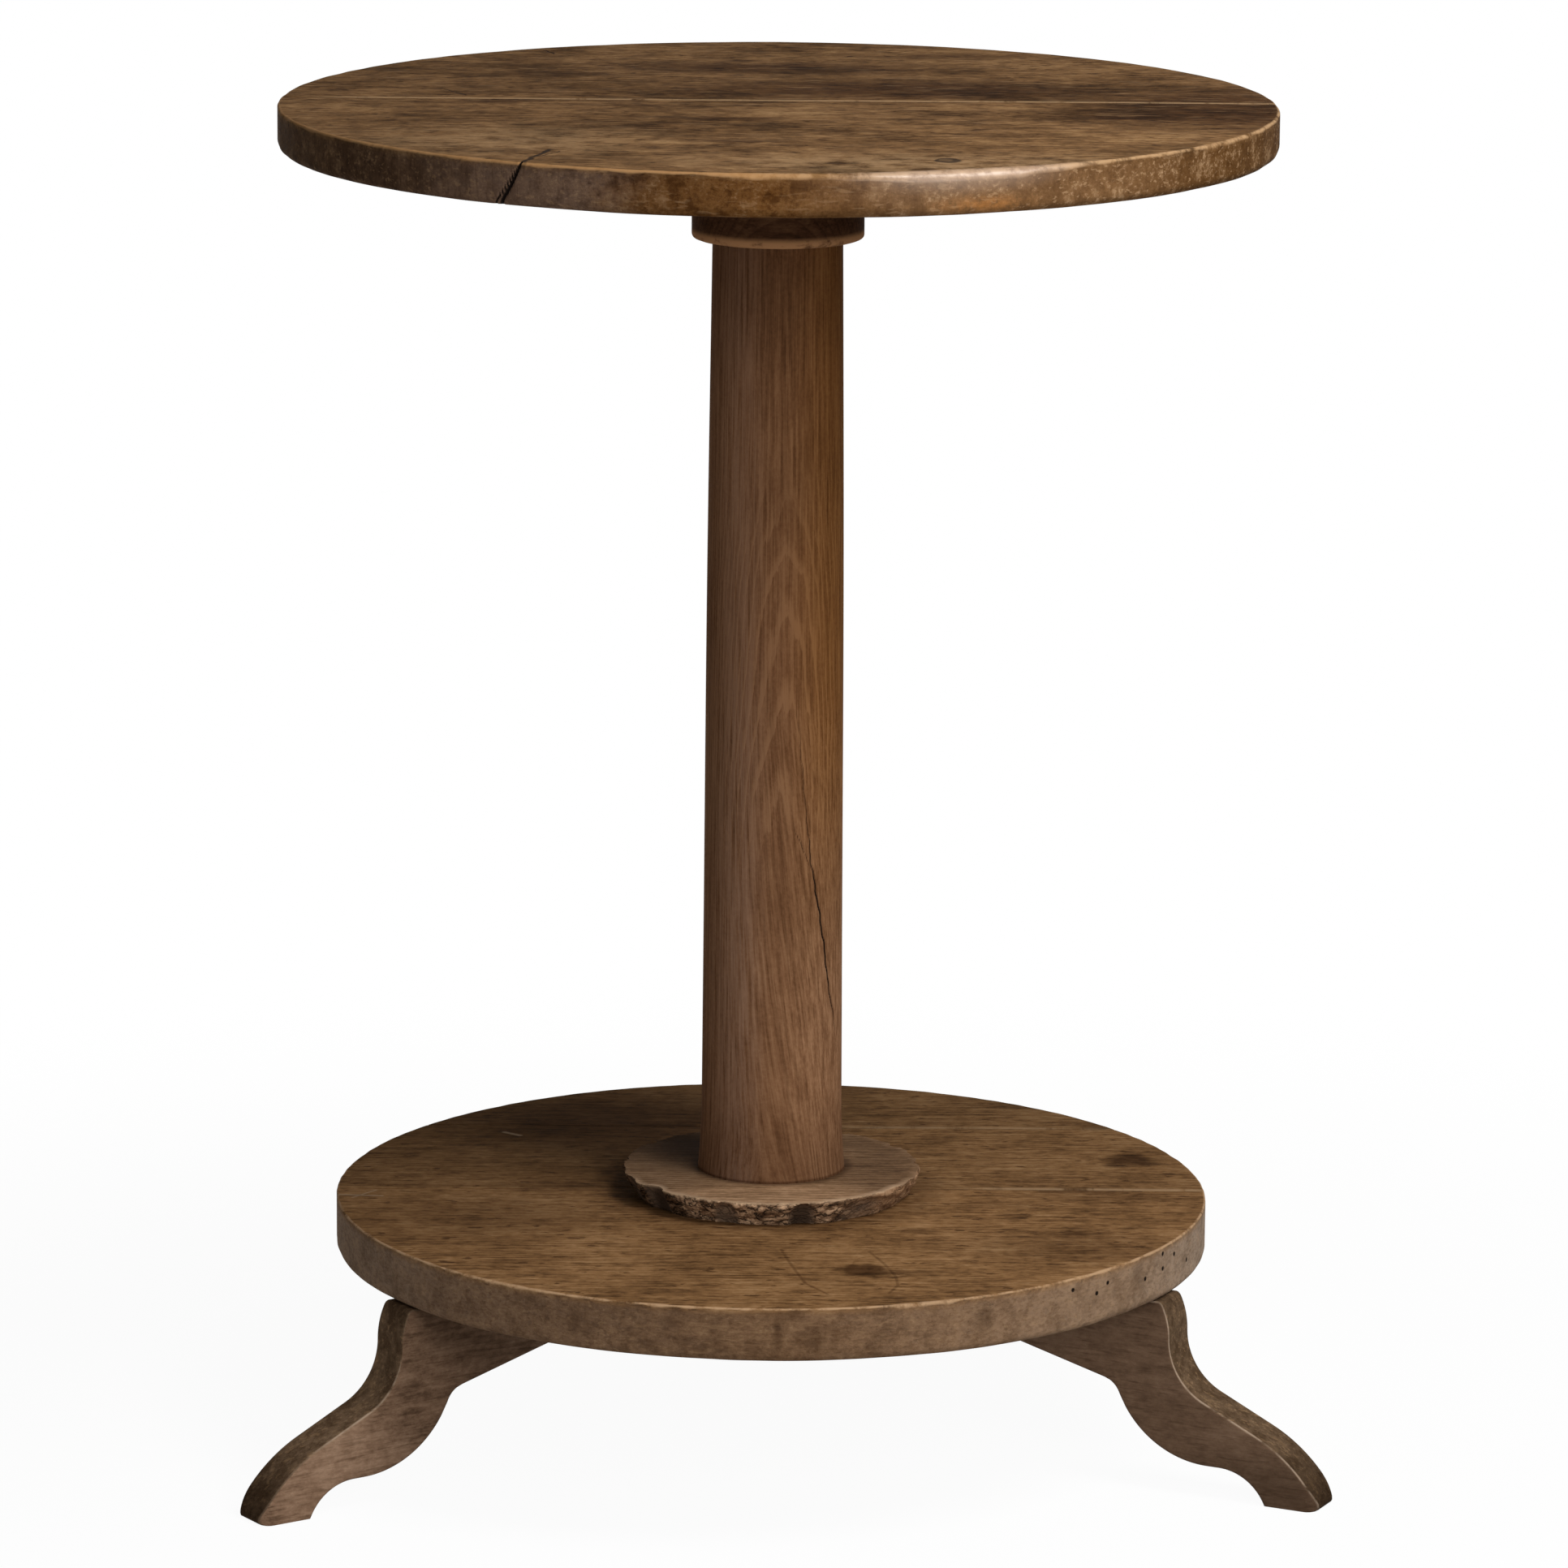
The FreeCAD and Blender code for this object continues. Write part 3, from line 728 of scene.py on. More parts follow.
def top_rim(f, x):
    """Colours of the rim from left to right, and what hands and the saw have left on it."""
    rim = f.worn("rim")
    f.paint(rim * 0.8, f.ramp(x / TOP_SPAN + 0.5, RIM_FROM_LEFT))
    left, middle, right = f.step(x, -70.0, -140.0), f.step(x, -10.0, 60.0), f.step(x, 20.0, 110.0)
    patches = handled(f, rim, 0.8 - (left | middle) * 0.4, 0.2 + right * 0.32)
    sawn = f.step(f.noise(f.place * (1.0, 1.0, 0.1), 1.7, 3.0, 0.6), 0.48, 0.66)
    f.shade(rim * sawn * (0.2 + left * 0.2), SAW_MARK)
    orange = f.spot(f.place, (105.0, -245.0, TOP["floor"] + 5.0), (45.0, 30.0, 7.0), 0.9)
    f.paint(orange * f.step(patches, 0.52, 0.78) * 0.8, (0.26, 0.105, 0.026))
    return patches


def top_marks(f, ragged):
    """Stains, blots, scratches, the knot and the cracks of the face, and how deep they go."""
    flat = 1.0 - f.worn("rim")
    stains = f.stains(ragged, [(*stain, TOP_STAIN_SOFT) for stain in TOP_STAINS])
    f.shade(stains * flat * 0.9, (0.28, 0.22, 0.17))
    blots = f.step(f.noise(f.place * (0.7, 1.0, 1.0), 9.0, 4.0, 0.6), 0.59, 0.68)
    f.shade(blots * flat * 0.5, (0.42, 0.36, 0.30))
    scratched(f, FACE_TURNS, flat * 0.3, RUBBED)
    face = f.ragged(0.12, 4.0, (5.0, 5.0, 0.0))
    knot = f.spot(face, (86.0, -214.0, 0.0), (8.0, 10.0, 1.0), 0.25) * flat
    heart = f.spot(face, (85.0, -213.0, 0.0), (4.8, 6.0, 1.0), 0.5) * flat
    lines = f.lines(face, TOP_LINES) * flat
    f.paint((knot - heart * 0.35) * 0.85, SOOT)
    f.paint(lines * 0.9, SOOT)
    return lines * 2.0 + knot * 0.6


# %% Finish of a board of the top


def top_finish(name, seed):
    """Finish of one board of the top: its wood, rubbed places, rim, marks, joint, worn edge, a painted
    highlight on the rim, and underside.
    """
    f = Finish(name, seed=seed)
    wood = old_wood(f, shades_of(UMBER, WALNUT, TAN), pith=(-40.0, 640.0), ring_width=6.0, rings_show=0.25,
                    patina=0.5, shares=(0.27, 0.06, 0.26, 0.23), flecks=(0.13, 0.42), pores=0.5,
                    pore=(3.6, 0.5), patch=(16.0, 0.85), cloud=0.75)
    rim, wear, under = f.worn("rim"), f.worn("wear"), f.worn("under")
    flat = 1.0 - rim
    ragged = f.ragged(0.12, 4.0, (16.0, 12.0, 0.0))
    x = uneven_x(f, wood)
    rubbed = f.spot(ragged, (80.0, -225.0, 0.0), (190.0, 55.0, 1.0), 0.9) * 0.6
    leant_on = f.spot(ragged, (-140.0, -150.0, 0.0), (120.0, 90.0, 1.0), 0.9) * 0.4
    bare = (rubbed | leant_on) * f.step(wood["mottle"], 0.35, 0.6) * flat
    f.paint(bare, (0.31, 0.195, 0.10))
    patches = top_rim(f, x)
    dents = top_marks(f, ragged)
    pale, seam = joint_line(f, TOP["joints"][0], -262.0, 330.0)
    f.paint(pale * (0.12 + flat * 0.5), (0.38, 0.245, 0.13))
    f.paint(seam * 0.5, SOOT)
    edge = wear * f.step(f.noise(f.place, 14.0, 4.0, 0.7), 0.36, 0.58)
    f.paint(edge * (0.45 + f.step(f.x, -120.0, 60.0) * 0.35), WORN_EDGE)
    f.paint(wear * f.step(x, 70.0, -30.0) * 0.7, (0.36, 0.19, 0.075))
    # Painted highlight: a pale sheen on the rim's upper round and a pale glint on its worn arris, right of
    # the middle.
    painted_sheen = f.spot(f.place, (96.0, -250.0, TOP["face"] - 3.0), (74.0, 60.0, 11.0), 0.9)
    f.paint(rim * painted_sheen * 0.24, (0.43, 0.335, 0.27))
    painted_glint = f.spot(f.place * (1.0, 0.0, 0.0), (98.0, 0.0, 0.0), (72.0, 1.0, 1.0), 0.6)
    f.paint(wear * painted_glint * 0.3, (0.56, 0.41, 0.31))
    f.paint(f.step(f.worn("crack"), 0.35, 1.3), SOOT)
    f.paint(under * 0.55, (0.10, 0.068, 0.043))
    roughness = wood["roughness"] - edge * 0.12 + under * 0.25
    height = wood["height"] - dents + patches * 0.9
    waxed = f.spot(f.place, (85.0, -252.0, TOP["face"]), (120.0, 60.0, 26.0), 0.8)
    return f.done(roughness, height, 0.28, waxed * (rim * 0.3 | edge * 0.8))


# %% Boards of the top
joint = TOP["joints"][0]
board("front_top_board", "top_board_front", TOP, None, joint, TOP_RIM, "top_wood",
      top_finish("waxed_top_front", 0.0), [CRACK_CLOSE_UP])
board("rear_top_board", "top_board_back", TOP, joint, None, TOP_RIM, "top_wood",
      top_finish("waxed_top_rear", 210.0))

# %% [markdown]
# ## Shelf
# Three boards. Their upper edge is sharper than the top's, worn pale in a thin line and chipped in front.
# The rim is greyer than the face and, on the right, riddled with wormholes. The same slices make these
# boards, with other values round the rim. The wormholes are too small for slices, so the finish has them.

# %% Shape of the shelf's rim
SHELF_RIM = {
    "upper": round_a_rim(1.25, [(20, 3.0, 1.2), (23.5, 1.0, 1.0), (17, 0.9, 0.8), (-36, 6, 0.7),
                                (-15, 1.3, 0.5), (48, 5, 0.5)], (0.22, 18, 9, 110, 13)),
    "lower": round_a_rim(4.0, [], (0.4, 8, 3, 24, 14)),
    "swell": round_a_rim(0.0, [], (0.5, 5, 2, 7, 15), (0.10, 12, 14, 80, 16)),
    "crack": no_crack,
    "hollow": slow_hollows(0.6, 17),
}
print("rim of the shelf", round(SHELF["radius"], 1), "mm from the axis")

# %% Colours and marks of the shelf
SHELF_SPAN = 480.0
SHELF_SHADES = [(0.085, 0.042, 0.017), (0.225, 0.117, 0.048), (0.345, 0.205, 0.098)]
SHELF_RIM_FROM_LEFT = [
    (0.0, (0.290, 0.205, 0.145)), (0.16, (0.165, 0.105, 0.068)), (0.35, (0.150, 0.090, 0.054)),
    (0.52, (0.150, 0.086, 0.048)), (0.70, (0.210, 0.130, 0.078)), (0.90, (0.280, 0.190, 0.125)),
    (1.0, (0.370, 0.285, 0.215))]
RIM_STAINS = [
    ((4.0, -237.5, 119.0), (4.0, 9.0, 16.0)), ((23.0, -236.4, 118.0), (9.0, 9.0, 12.0)),
    ((112.0, -209.4, 121.0), (9.0, 12.0, 14.0)), ((196.0, -134.0, 124.0), (6.0, 8.0, 14.0)),
    ((-102.0, -214.5, 120.0), (6.0, 8.0, 12.0))]
RING_STAIN = [
    ((5.8, -123.0), (10.5, -149.0)), ((10.5, -149.0), (18.5, -187.5)), ((18.5, -187.5), (30.0, -208.4)),
    ((52.6, -126.1), (60.5, -149.4)), ((60.5, -149.4), (66.3, -173.4)), ((66.3, -173.4), (67.0, -190.4)),
    ((67.0, -190.4), (62.2, -205.8))]
# Stains on the face. The broad oval behind the column on the left is painted shadow of the column and the
# top, and the oval round the axis is painted shade round the foot ring; the others are stains.
SHELF_STAINS_AND_SHADOWS = [
    (199.0, 68.0, 22.0, 19.0, 1.0, 0.7), (164.0, -86.0, 28.0, 17.0, 0.7, 0.9),
    (79.0, -83.0, 16.0, 9.0, 0.6, 0.9), (50.0, -163.0, 19.0, 16.0, 1.0, 0.6),
    (62.0, -166.0, 34.0, 11.0, 0.8, 0.9), (150.0, 190.0, 60.0, 16.0, 0.5, 0.9),
    (120.0, -28.0, 60.0, 14.0, 0.35, 0.9), (132.0, -50.0, 14.0, 12.0, 0.55, 0.9),
    (196.0, -74.0, 14.0, 9.0, 0.5, 0.9), (185.0, -12.0, 70.0, 16.0, 0.5, 0.9),
    (-80.0, 150.0, 150.0, 100.0, 0.92, 0.8), (-114.0, 2.0, 54.0, 18.0, 0.6, 0.9),
    (160.0, -115.0, 90.0, 50.0, 0.5, 0.9), (-150.0, -60.0, 90.0, 70.0, 0.42, 0.9),
    (170.0, 0.0, 44.0, 11.0, 0.7, 0.9), (0.0, 0.0, 104.0, 100.0, 0.6, 0.22)]
SHELF_SCRATCHES = [
    ((-236.0, -16.0), (-212.0, -18.0), 1.4, 1.0), ((-150.0, 121.0), (-141.0, 114.0), 2.4, 1.0),
    ((-228.0, -22.0), (-216.0, -6.0), 1.2, 0.7)]
WORM_RADII = (1.5, 1.5, 1.5)
WORMHOLES = [
    (160.0, -175.5, 127.6), (173.0, -162.8, 122.4), (179.2, -155.9, 126.3), (200.2, -127.7, 120.7),
    (209.9, -111.1, 130.1), (216.7, -97.3, 126.3), (224.3, -78.2, 117.9), (210.0, -110.8, 121.9)]
print("marks on the shelf:", len(SHELF_STAINS_AND_SHADOWS), "stains and", len(WORMHOLES), "wormholes")

# %% Rim and marks of the shelf


def shelf_rim(f, wood):
    """Colours of the rim from left to right, what hands and the saw have left on it, and dark stains."""
    rim = f.worn("rim")
    f.paint(rim * 0.8, f.ramp(uneven_x(f, wood) / SHELF_SPAN + 0.5, SHELF_RIM_FROM_LEFT))
    patches = handled(f, rim, 0.36, 0.2)
    sawn = f.step(f.noise(f.place * (0.4, 0.4, 1.0), 1.7, 3.0, 0.65), 0.46, 0.62)
    f.shade(rim * sawn * 0.42, SAW_MARK)
    for stain, radii in RIM_STAINS:
        f.shade(rim * f.spot(f.place, stain, radii, 0.9) * 0.6, (0.42, 0.38, 0.35))
    return patches


def shelf_marks(f, wood):
    """Stains of the face, with a painted shadow behind the column and painted shade round the foot ring, the
    trace of something wet that stood there, and pale scratches.
    """
    flat = 1.0 - f.worn("rim")
    stains = f.stains(f.ragged(0.08, 5.0, (22.0, 26.0, 0.0)), SHELF_STAINS_AND_SHADOWS)
    f.shade(stains * flat * 0.9, (0.24, 0.20, 0.18))
    face = f.place * FLAT
    trace = f.lines(face, [(*ends, 1.4, 1.0) for ends in RING_STAIN]) * f.step(wood["mottle"], 0.3, 0.5)
    f.shade(trace * flat * 0.55, (0.35, 0.30, 0.27))
    f.paint(f.lines(face, SHELF_SCRATCHES) * flat * 0.6, (0.36, 0.26, 0.17))


# %% Finish of a board of the shelf


def shelf_finish(name, seed, tone, worms=()):
    """Finish of one board of the shelf. tone is how light its wood is, and worms are the holes in its rim."""
    f = Finish(name, seed=seed)
    shades = shades_of(*(tuple(tone * np.array(shade)) for shade in SHELF_SHADES))
    wood = old_wood(f, shades, pith=(-90.0, 40.0), ring_width=7.5, wander=8.0, rings_show=0.18, patina=0.22,
                    shares=(0.40, 0.05, 0.21, 0.19), flecks=(0.14, 0.42), pores=0.42, pore=(3.4, 0.35),
                    patch=(13.0, 0.95), cloud=0.8)
    patches = shelf_rim(f, wood)
    shelf_marks(f, wood)
    pale, seam = joint_line(f, SHELF["joints"][0], 90.0, 330.0)
    pale_back, seam_back = joint_line(f, SHELF["joints"][1], 20.0, 230.0)
    f.paint(pale * 0.6 | pale_back * 0.4, (0.36, 0.235, 0.13))
    f.paint((seam | seam_back) * 0.55, SOOT)
    edge = f.worn("wear") * f.step(f.noise(f.place, 12.0, 4.0, 0.7), 0.34, 0.56)
    f.paint(edge * 0.8, (0.45, 0.29, 0.165))
    height = wood["height"] + patches * 0.8
    if worms:
        holes = f.strongest(f.spot(f.place, hole, WORM_RADII, 0.4) for hole in worms)
        f.paint(holes, SOOT)
        height = height - holes * 3.0
    under = f.worn("under")
    f.paint(under * 0.5, (0.11, 0.075, 0.048))
    return f.done(wood["roughness"] + 0.04 + under * 0.25, height, 0.26)


# %% Boards of the shelf
front_joint, back_joint = SHELF["joints"]
board("front_shelf_board", "base_board_front", SHELF, None, front_joint, SHELF_RIM, "shelf_wood",
      shelf_finish("shelf_front_wood", 0.0, 0.99, WORMHOLES))
board("middle_shelf_board", "base_board_middle", SHELF, front_joint, back_joint, SHELF_RIM, "shelf_wood",
      shelf_finish("shelf_middle_wood", 90.0, 0.80), count=90)
board("rear_shelf_board", "base_board_back", SHELF, back_joint, None, SHELF_RIM, "shelf_wood",
      shelf_finish("shelf_rear_wood", 170.0, 0.67), count=110)

# %% [markdown]
# ## Column
# The column was turned on a lathe: a profile carried round an axis. Its long crack opened as the wood
# dried, and follows the slanting grain. A Screw modifier could turn the profile, but not crack it. On a
# grid the crack is a groove in the surface, and the points stand closer together there.

# %% Measures of the column
RING_FACE = node_box("foot_ring")[1][2]
COLLAR_FLOOR, COLLAR_FACE = node_box("collar")[0][2], node_box("collar")[1][2]
FOOT_RADIUS = (column_high[0] - column_low[0]) / 2
SHAFT_LOWER, SHAFT_UPPER, SHAFT_SWELL = 38.1, 35.0, 0.45
FLARE_HEIGHT = 40.0
LOWER_TENON, UPPER_TENON = 20.0, 18.0
WEDGE_PROUD = 0.3
CRACK_FROM, CRACK_TO = 14, 68
ROUND_COLUMN, ALONG_SHAFT = 130, 300
GROOVE_DEPTH = 2.4
CRACK_PATH = [
    (18.0, 412.0), (21.1, 398.6), (26.7, 360.4), (33.4, 324.1), (38.7, 308.0), (47.4, 280.1), (54.1, 254.5),
    (65.3, 228.1)]
CRACK_WIDTHS = [0.12, 0.20, 0.24, 0.36, 0.50, 0.55, 0.52, 0.34]
BRANCH_PATH = [(16.0, 350.0), (18.3, 343.0), (25.6, 332.3), (33.4, 322.0)]
BRANCH_WIDTHS = [0.14, 0.26, 0.32, 0.2]
print("shaft", round(COLLAR_FLOOR - RING_FACE, 1), "mm long")

# %% Shape of the column


def turned(radius, angle, height):
    """Points about the axis: out by a radius at an angle that is counted from the front to the right."""
    return np.stack([radius * np.sin(angle), -radius * np.cos(angle), height + 0 * radius], -1)


def shaft_radius(height):
    """Radius of the shaft: a straight taper with a slight swell, and a curve out to the foot."""
    waist = RING_FACE + FLARE_HEIGHT
    share = np.clip((height - waist) / (COLLAR_FLOOR - waist), 0, 1)
    shaft = SHAFT_LOWER + (SHAFT_UPPER - SHAFT_LOWER) * share + 4 * SHAFT_SWELL * share * (1 - share)
    flare = np.clip((waist - height) / FLARE_HEIGHT, 0, 1)
    return shaft + (FOOT_RADIUS - SHAFT_LOWER) * flare ** 2


def column_groove(angle, height):
    """Depth of the crack and its branch: how far a point lies beside the path at its height, in widths."""
    depth = 0 * (angle + height)
    for path, widths in ((CRACK_PATH, CRACK_WIDTHS), (BRANCH_PATH, BRANCH_WIDTHS)):
        levels = np.array(path[::-1])
        middle = np.interp(height, levels[:, 1], levels[:, 0])
        middle = middle + 0.5 * np.sin(height / 3.1) + 0.3 * np.sin(height / 1.3)
        half = np.interp(height, levels[:, 1], widths[::-1], left=0, right=0)
        beside = SHAFT_LOWER * (angle - np.radians(middle)) / np.maximum(half, 0.02)
        depth = np.maximum(depth, GROOVE_DEPTH * np.minimum(half, 0.8) * np.exp(-beside ** 2))
    return depth


def column_grid():
    """Points of the column and of the round tenons at its ends, and the mask of its crack."""
    close = np.linspace(CRACK_FROM, CRACK_TO, ROUND_COLUMN)
    rest = np.linspace(CRACK_TO + 2, CRACK_FROM + 358, ROUND_COLUMN)
    angle = np.radians(np.concatenate([close, rest]))
    shaft = np.linspace(RING_FACE, COLLAR_FLOOR, ALONG_SHAFT)
    below = column_low[2] + WEDGE_PROUD
    above = column_high[2]
    heights = np.concatenate([[below, below, RING_FACE], shaft, [COLLAR_FLOOR, above, above]])
    lower, upper = [0, LOWER_TENON, LOWER_TENON], [UPPER_TENON, UPPER_TENON, 0]
    radii = np.concatenate([lower, shaft_radius(shaft), upper])
    on_shaft = np.concatenate([[0, 0, 0], np.ones(shaft.size), [0, 0, 0]])[:, None]
    depth = column_groove(angle[None, :], heights[:, None]) * on_shaft
    uneven = 0.10 * ripples(angle, 8, 2, 9, 21)[None, :] + 0.12 * np.sin(heights / 61.0)[:, None]
    radius = radii[:, None] - depth + uneven * on_shaft
    return turned(radius, angle, heights[:, None]), depth


# %% Finish of the column
UPRIGHT = (0.0, math.pi / 2, 0.0)
SMOKE_AND_SHADE = (0.40, 0.36, 0.34)
SLANT_FROM = 405.0


def column_finish():
    """Reddish wood whose rings make a pointed figure in front, and whose grain slants below it. It is darker
    at the foot with dirt and painted shade, has painted shade under the collar and the top, and painted light
    on its lower right.
    """
    f = Finish("turned_column_wood")
    slant = ((SLANT_FROM - f.z) | 0.0) * f.step(f.x, -40.0, 30.0) * 0.125
    leaning = f.node("ShaderNodeCombineXYZ", {}, {0: slant})
    f.grain = f.node("ShaderNodeMapping", {}, {"Vector": f.place - leaning, "Rotation": UPRIGHT})
    figure = f.step(f.z, 580.0, 450.0) * f.step(f.z, 300.0, 380.0) * -1.25
    wood = old_wood(f, shades_of((0.085, 0.036, 0.015), (0.140, 0.063, 0.028), (0.200, 0.098, 0.046)),
                    pith=(76.0, 10.0), ring_width=1.5, wander=1.6, rings_show=figure, patina=0.2,
                    shares=(0.60, 0.05, 0.13, 0.09), lean=(-0.035, 0.0), flecks=(0.012, 0.16), pores=0.3,
                    fibre=(1.4, 0.022), pore=(1.3, 0.02))
    band = f.spot(f.place * (1.0, 0.0, 0.0), (-20.0, 0.0, 0.0), (20.0, 1.0, 1.0), 0.95)
    band = band * f.step(f.y, 5.0, -5.0) * f.step(wood["fibres"], 0.3, 0.6)
    f.paint(band * 0.42, (0.186, 0.108, 0.072))
    # Dirt and painted shade: darker at the foot where the column meets the ring, and painted shade just under
    # the collar and over the upper column, where the top's shadow falls.
    grime_and_painted_shade = f.strongest([
        f.step(f.z, COLLAR_FLOOR - 12.0, COLLAR_FLOOR) * 0.6, f.step(f.z, 540.0, 690.0) * 0.6,
        f.step(f.z, RING_FACE + 60.0, RING_FACE) * 0.5, f.step(f.z, RING_FACE + 9.0, RING_FACE) * 0.6,
        f.step(f.z, RING_FACE + 2.6, RING_FACE + 0.6)])
    f.shade(grime_and_painted_shade, SMOKE_AND_SHADE)
    f.shade(f.step(f.z, 480.0, 230.0), (1.24, 1.33, 1.44))
    # Painted light: the lower right of the column is lighter, where the key lamp falls.
    painted_light_right = f.step(f.z, 430.0, 230.0) * f.step(f.x, 2.0, 34.0)
    f.shade(painted_light_right, (1.20, 1.24, 1.28))
    warm = f.step(f.z, 240.0, 440.0) * f.step(f.x, 0.0, 32.0)
    f.shade(warm, (1.10, 1.00, 0.70))
    f.paint(f.step(f.worn("crack"), 0.12, 0.8), SOOT)
    return f.done(wood["roughness"] + 0.02, wood["height"], 0.2)


# %% Make the column
shape, crack = column_grid()
piece("turned_column", shape, {"crack": crack}, ["column"], "column_wood", column_finish())

# %% [markdown]
# ## Collar
# A plain turned disc, almost black with old wax, hides the joint between the column and the top. It is made
# as the column was. Its profile is closed and has both rounded edges, so no modifier has to ease them.

# %% Shape and finish of the collar
COLLAR_LOWER, COLLAR_UPPER = 2.4, 1.2
ROUND_COLLAR = 200


def collar_grid():
    """Points of the collar: down its hole, out along the floor, round the lower edge, up the side and in."""
    low, high = node_box("collar")
    radius = (high[0] - low[0]) / 2
    angle = np.linspace(0, 2 * math.pi, ROUND_COLLAR, endpoint=False)
    turn = np.linspace(0, math.pi / 2, 8)
    floor = np.linspace(UPPER_TENON, radius - COLLAR_LOWER, 8)
    side = np.linspace(COLLAR_FLOOR + COLLAR_LOWER, COLLAR_FACE - COLLAR_UPPER, 7)[1:-1]
    profile = [
        ([UPPER_TENON], [COLLAR_FACE]),
        (floor, 0 * floor + COLLAR_FLOOR),
        (radius - COLLAR_LOWER * (1 - np.sin(turn)), COLLAR_FLOOR + COLLAR_LOWER * (1 - np.cos(turn))),
        (0 * side + radius, side),
        (radius - COLLAR_UPPER * (1 - np.cos(turn)), COLLAR_FACE - COLLAR_UPPER * (1 - np.sin(turn))),
        ([UPPER_TENON], [COLLAR_FACE]),
    ]
    radii, heights = (np.concatenate(values)[:, None] for values in zip(*profile))
    uneven = 0.15 * ripples(angle, 8, 2, 20, 31) * (radii > UPPER_TENON + 1)
    return turned(radii + uneven, angle, heights)


def collar_finish():
    """Very dark wood with a paler lower edge, painted light that the rounded edge catches from below."""
    f = Finish("dark_collar_wood", seed=400.0)
    wood = old_wood(f, shades_of((0.024, 0.010, 0.005), (0.045, 0.019, 0.009), (0.080, 0.037, 0.017)),
                    pith=(-60.0, 900.0), ring_width=3.4, patina=0.3)
    # Painted light: the paler band on the lower rounded edge stands for the light it catches from below.
    rubbed = f.step(f.z, COLLAR_FLOOR + 6.5, COLLAR_FLOOR + 2.5) * f.step(wood["mottle"], 0.3, 0.5)
    f.paint(rubbed * 0.9, (0.34, 0.170, 0.076))
    return f.done(wood["roughness"], wood["height"], 0.25)


# %% Make the collar
piece("turned_collar", collar_grid(), {}, ["collar"], "collar_wood", collar_finish(), rows_close=True)

# %% [markdown]
# ## Foot ring
# The column stands on a ring whose edge was cut with a gouge all round. The strokes that show in front are
# all different: an arched notch, a broad scoop, a narrow deep cut. Between them the wood has broken away in
# rough fibres. Cutters and a Boolean modifier would leave clean edges, so the depth of the carving is worked
# out at each point of the edge instead.

# %% Measures of the foot ring
RING_FLOOR = node_box("foot_ring")[0][2]
RING_RADIUS = (node_box("foot_ring")[1][0] - node_box("foot_ring")[0][0]) / 2
GOUGE_STEP = 360 / 13
FRONT_GOUGES = [
    (-71.0, 8.0, 3.6, 1.1), (-52.5, 10.5, 6.8, 1.3), (-18.3, 8.4, 5.0, 0.98), (12.7, 8.4, 7.5, 0.98),
    (39.8, 18.5, 4.2, 0.95), (68.0, 6.5, 3.2, 1.05)]
BACK_GOUGES = [(68.0 + GOUGE_STEP * step, 6.5, 5.0, 1.12) for step in range(1, 8)]
BITES = [
    (-38.0, 3.0, 2.2), (-32.5, 2.0, 1.8), (-28.0, 2.0, 1.2), (-5.0, 3.0, 0.8), (5.0, 1.5, 1.2),
    (21.0, 2.0, 1.2), (57.0, 3.0, 0.9), (82.0, 4.0, 1.4), (-84.0, 4.0, 1.2)]
UNDERCUT = 7.5
ROUND_RING, DOWN_EDGE, OVER_FACE = 900, 26, 14
print("ring", round(2 * RING_RADIUS, 1), "mm across with", len(FRONT_GOUGES + BACK_GOUGES), "gouge cuts")

# %% Shape of the foot ring


def facets(angle, count, depth, seed):
    """Straight cuts round the edge: random depths at random angles, joined by straight lines."""
    random = np.random.default_rng(seed)
    knots = np.sort(random.uniform(-math.pi, math.pi, count))
    return np.interp(angle, knots, random.uniform(0, depth, count), period=2 * math.pi)


def ring_recess(angle, level):
    """How far the edge lies inside the full radius, and how much of that is gouge. level is 0 below, 1 above.

    The edge leans in towards its foot. A gouge stroke is part of an egg: depth times the root of 1 - across
    squared - level to the fourth. Between the strokes the wood is split in facets and torn along its fibres.
    """
    gouged = 0 * (angle + level)
    for middle, half, depth, reach in FRONT_GOUGES + BACK_GOUGES:
        away = (np.degrees(angle) - middle + 180) % 360 - 180
        across = np.radians(away) * RING_RADIUS / half
        gouged = np.maximum(gouged, depth * np.sqrt(np.clip(1 - across ** 2 - (level / reach) ** 4, 0, None)))
    foot = UNDERCUT * (1 - level) ** 1.2
    lip = np.clip((level - 0.55) / 0.45, 0, 1) ** 2
    broken = bumps(angle, BITES) * lip
    split = facets(angle, 58, 3.6, 41) * (1 - level) + facets(angle, 66, 2.2, 42) * level
    torn = 0.40 * np.sin(level * 15 + 2.5 * ripples(angle, 9, 4, 40, 43))
    fibres = 0.14 * ripples(angle + level * 0.1, 30, 60, 260, 44)
    rough = np.clip(split + torn + fibres, 0, None) * np.clip(1 - gouged / 2.0, 0.12, 1)
    return gouged * (0.6 + 0.4 * level) + foot + broken + rough + 0.7 * lip ** 3, gouged


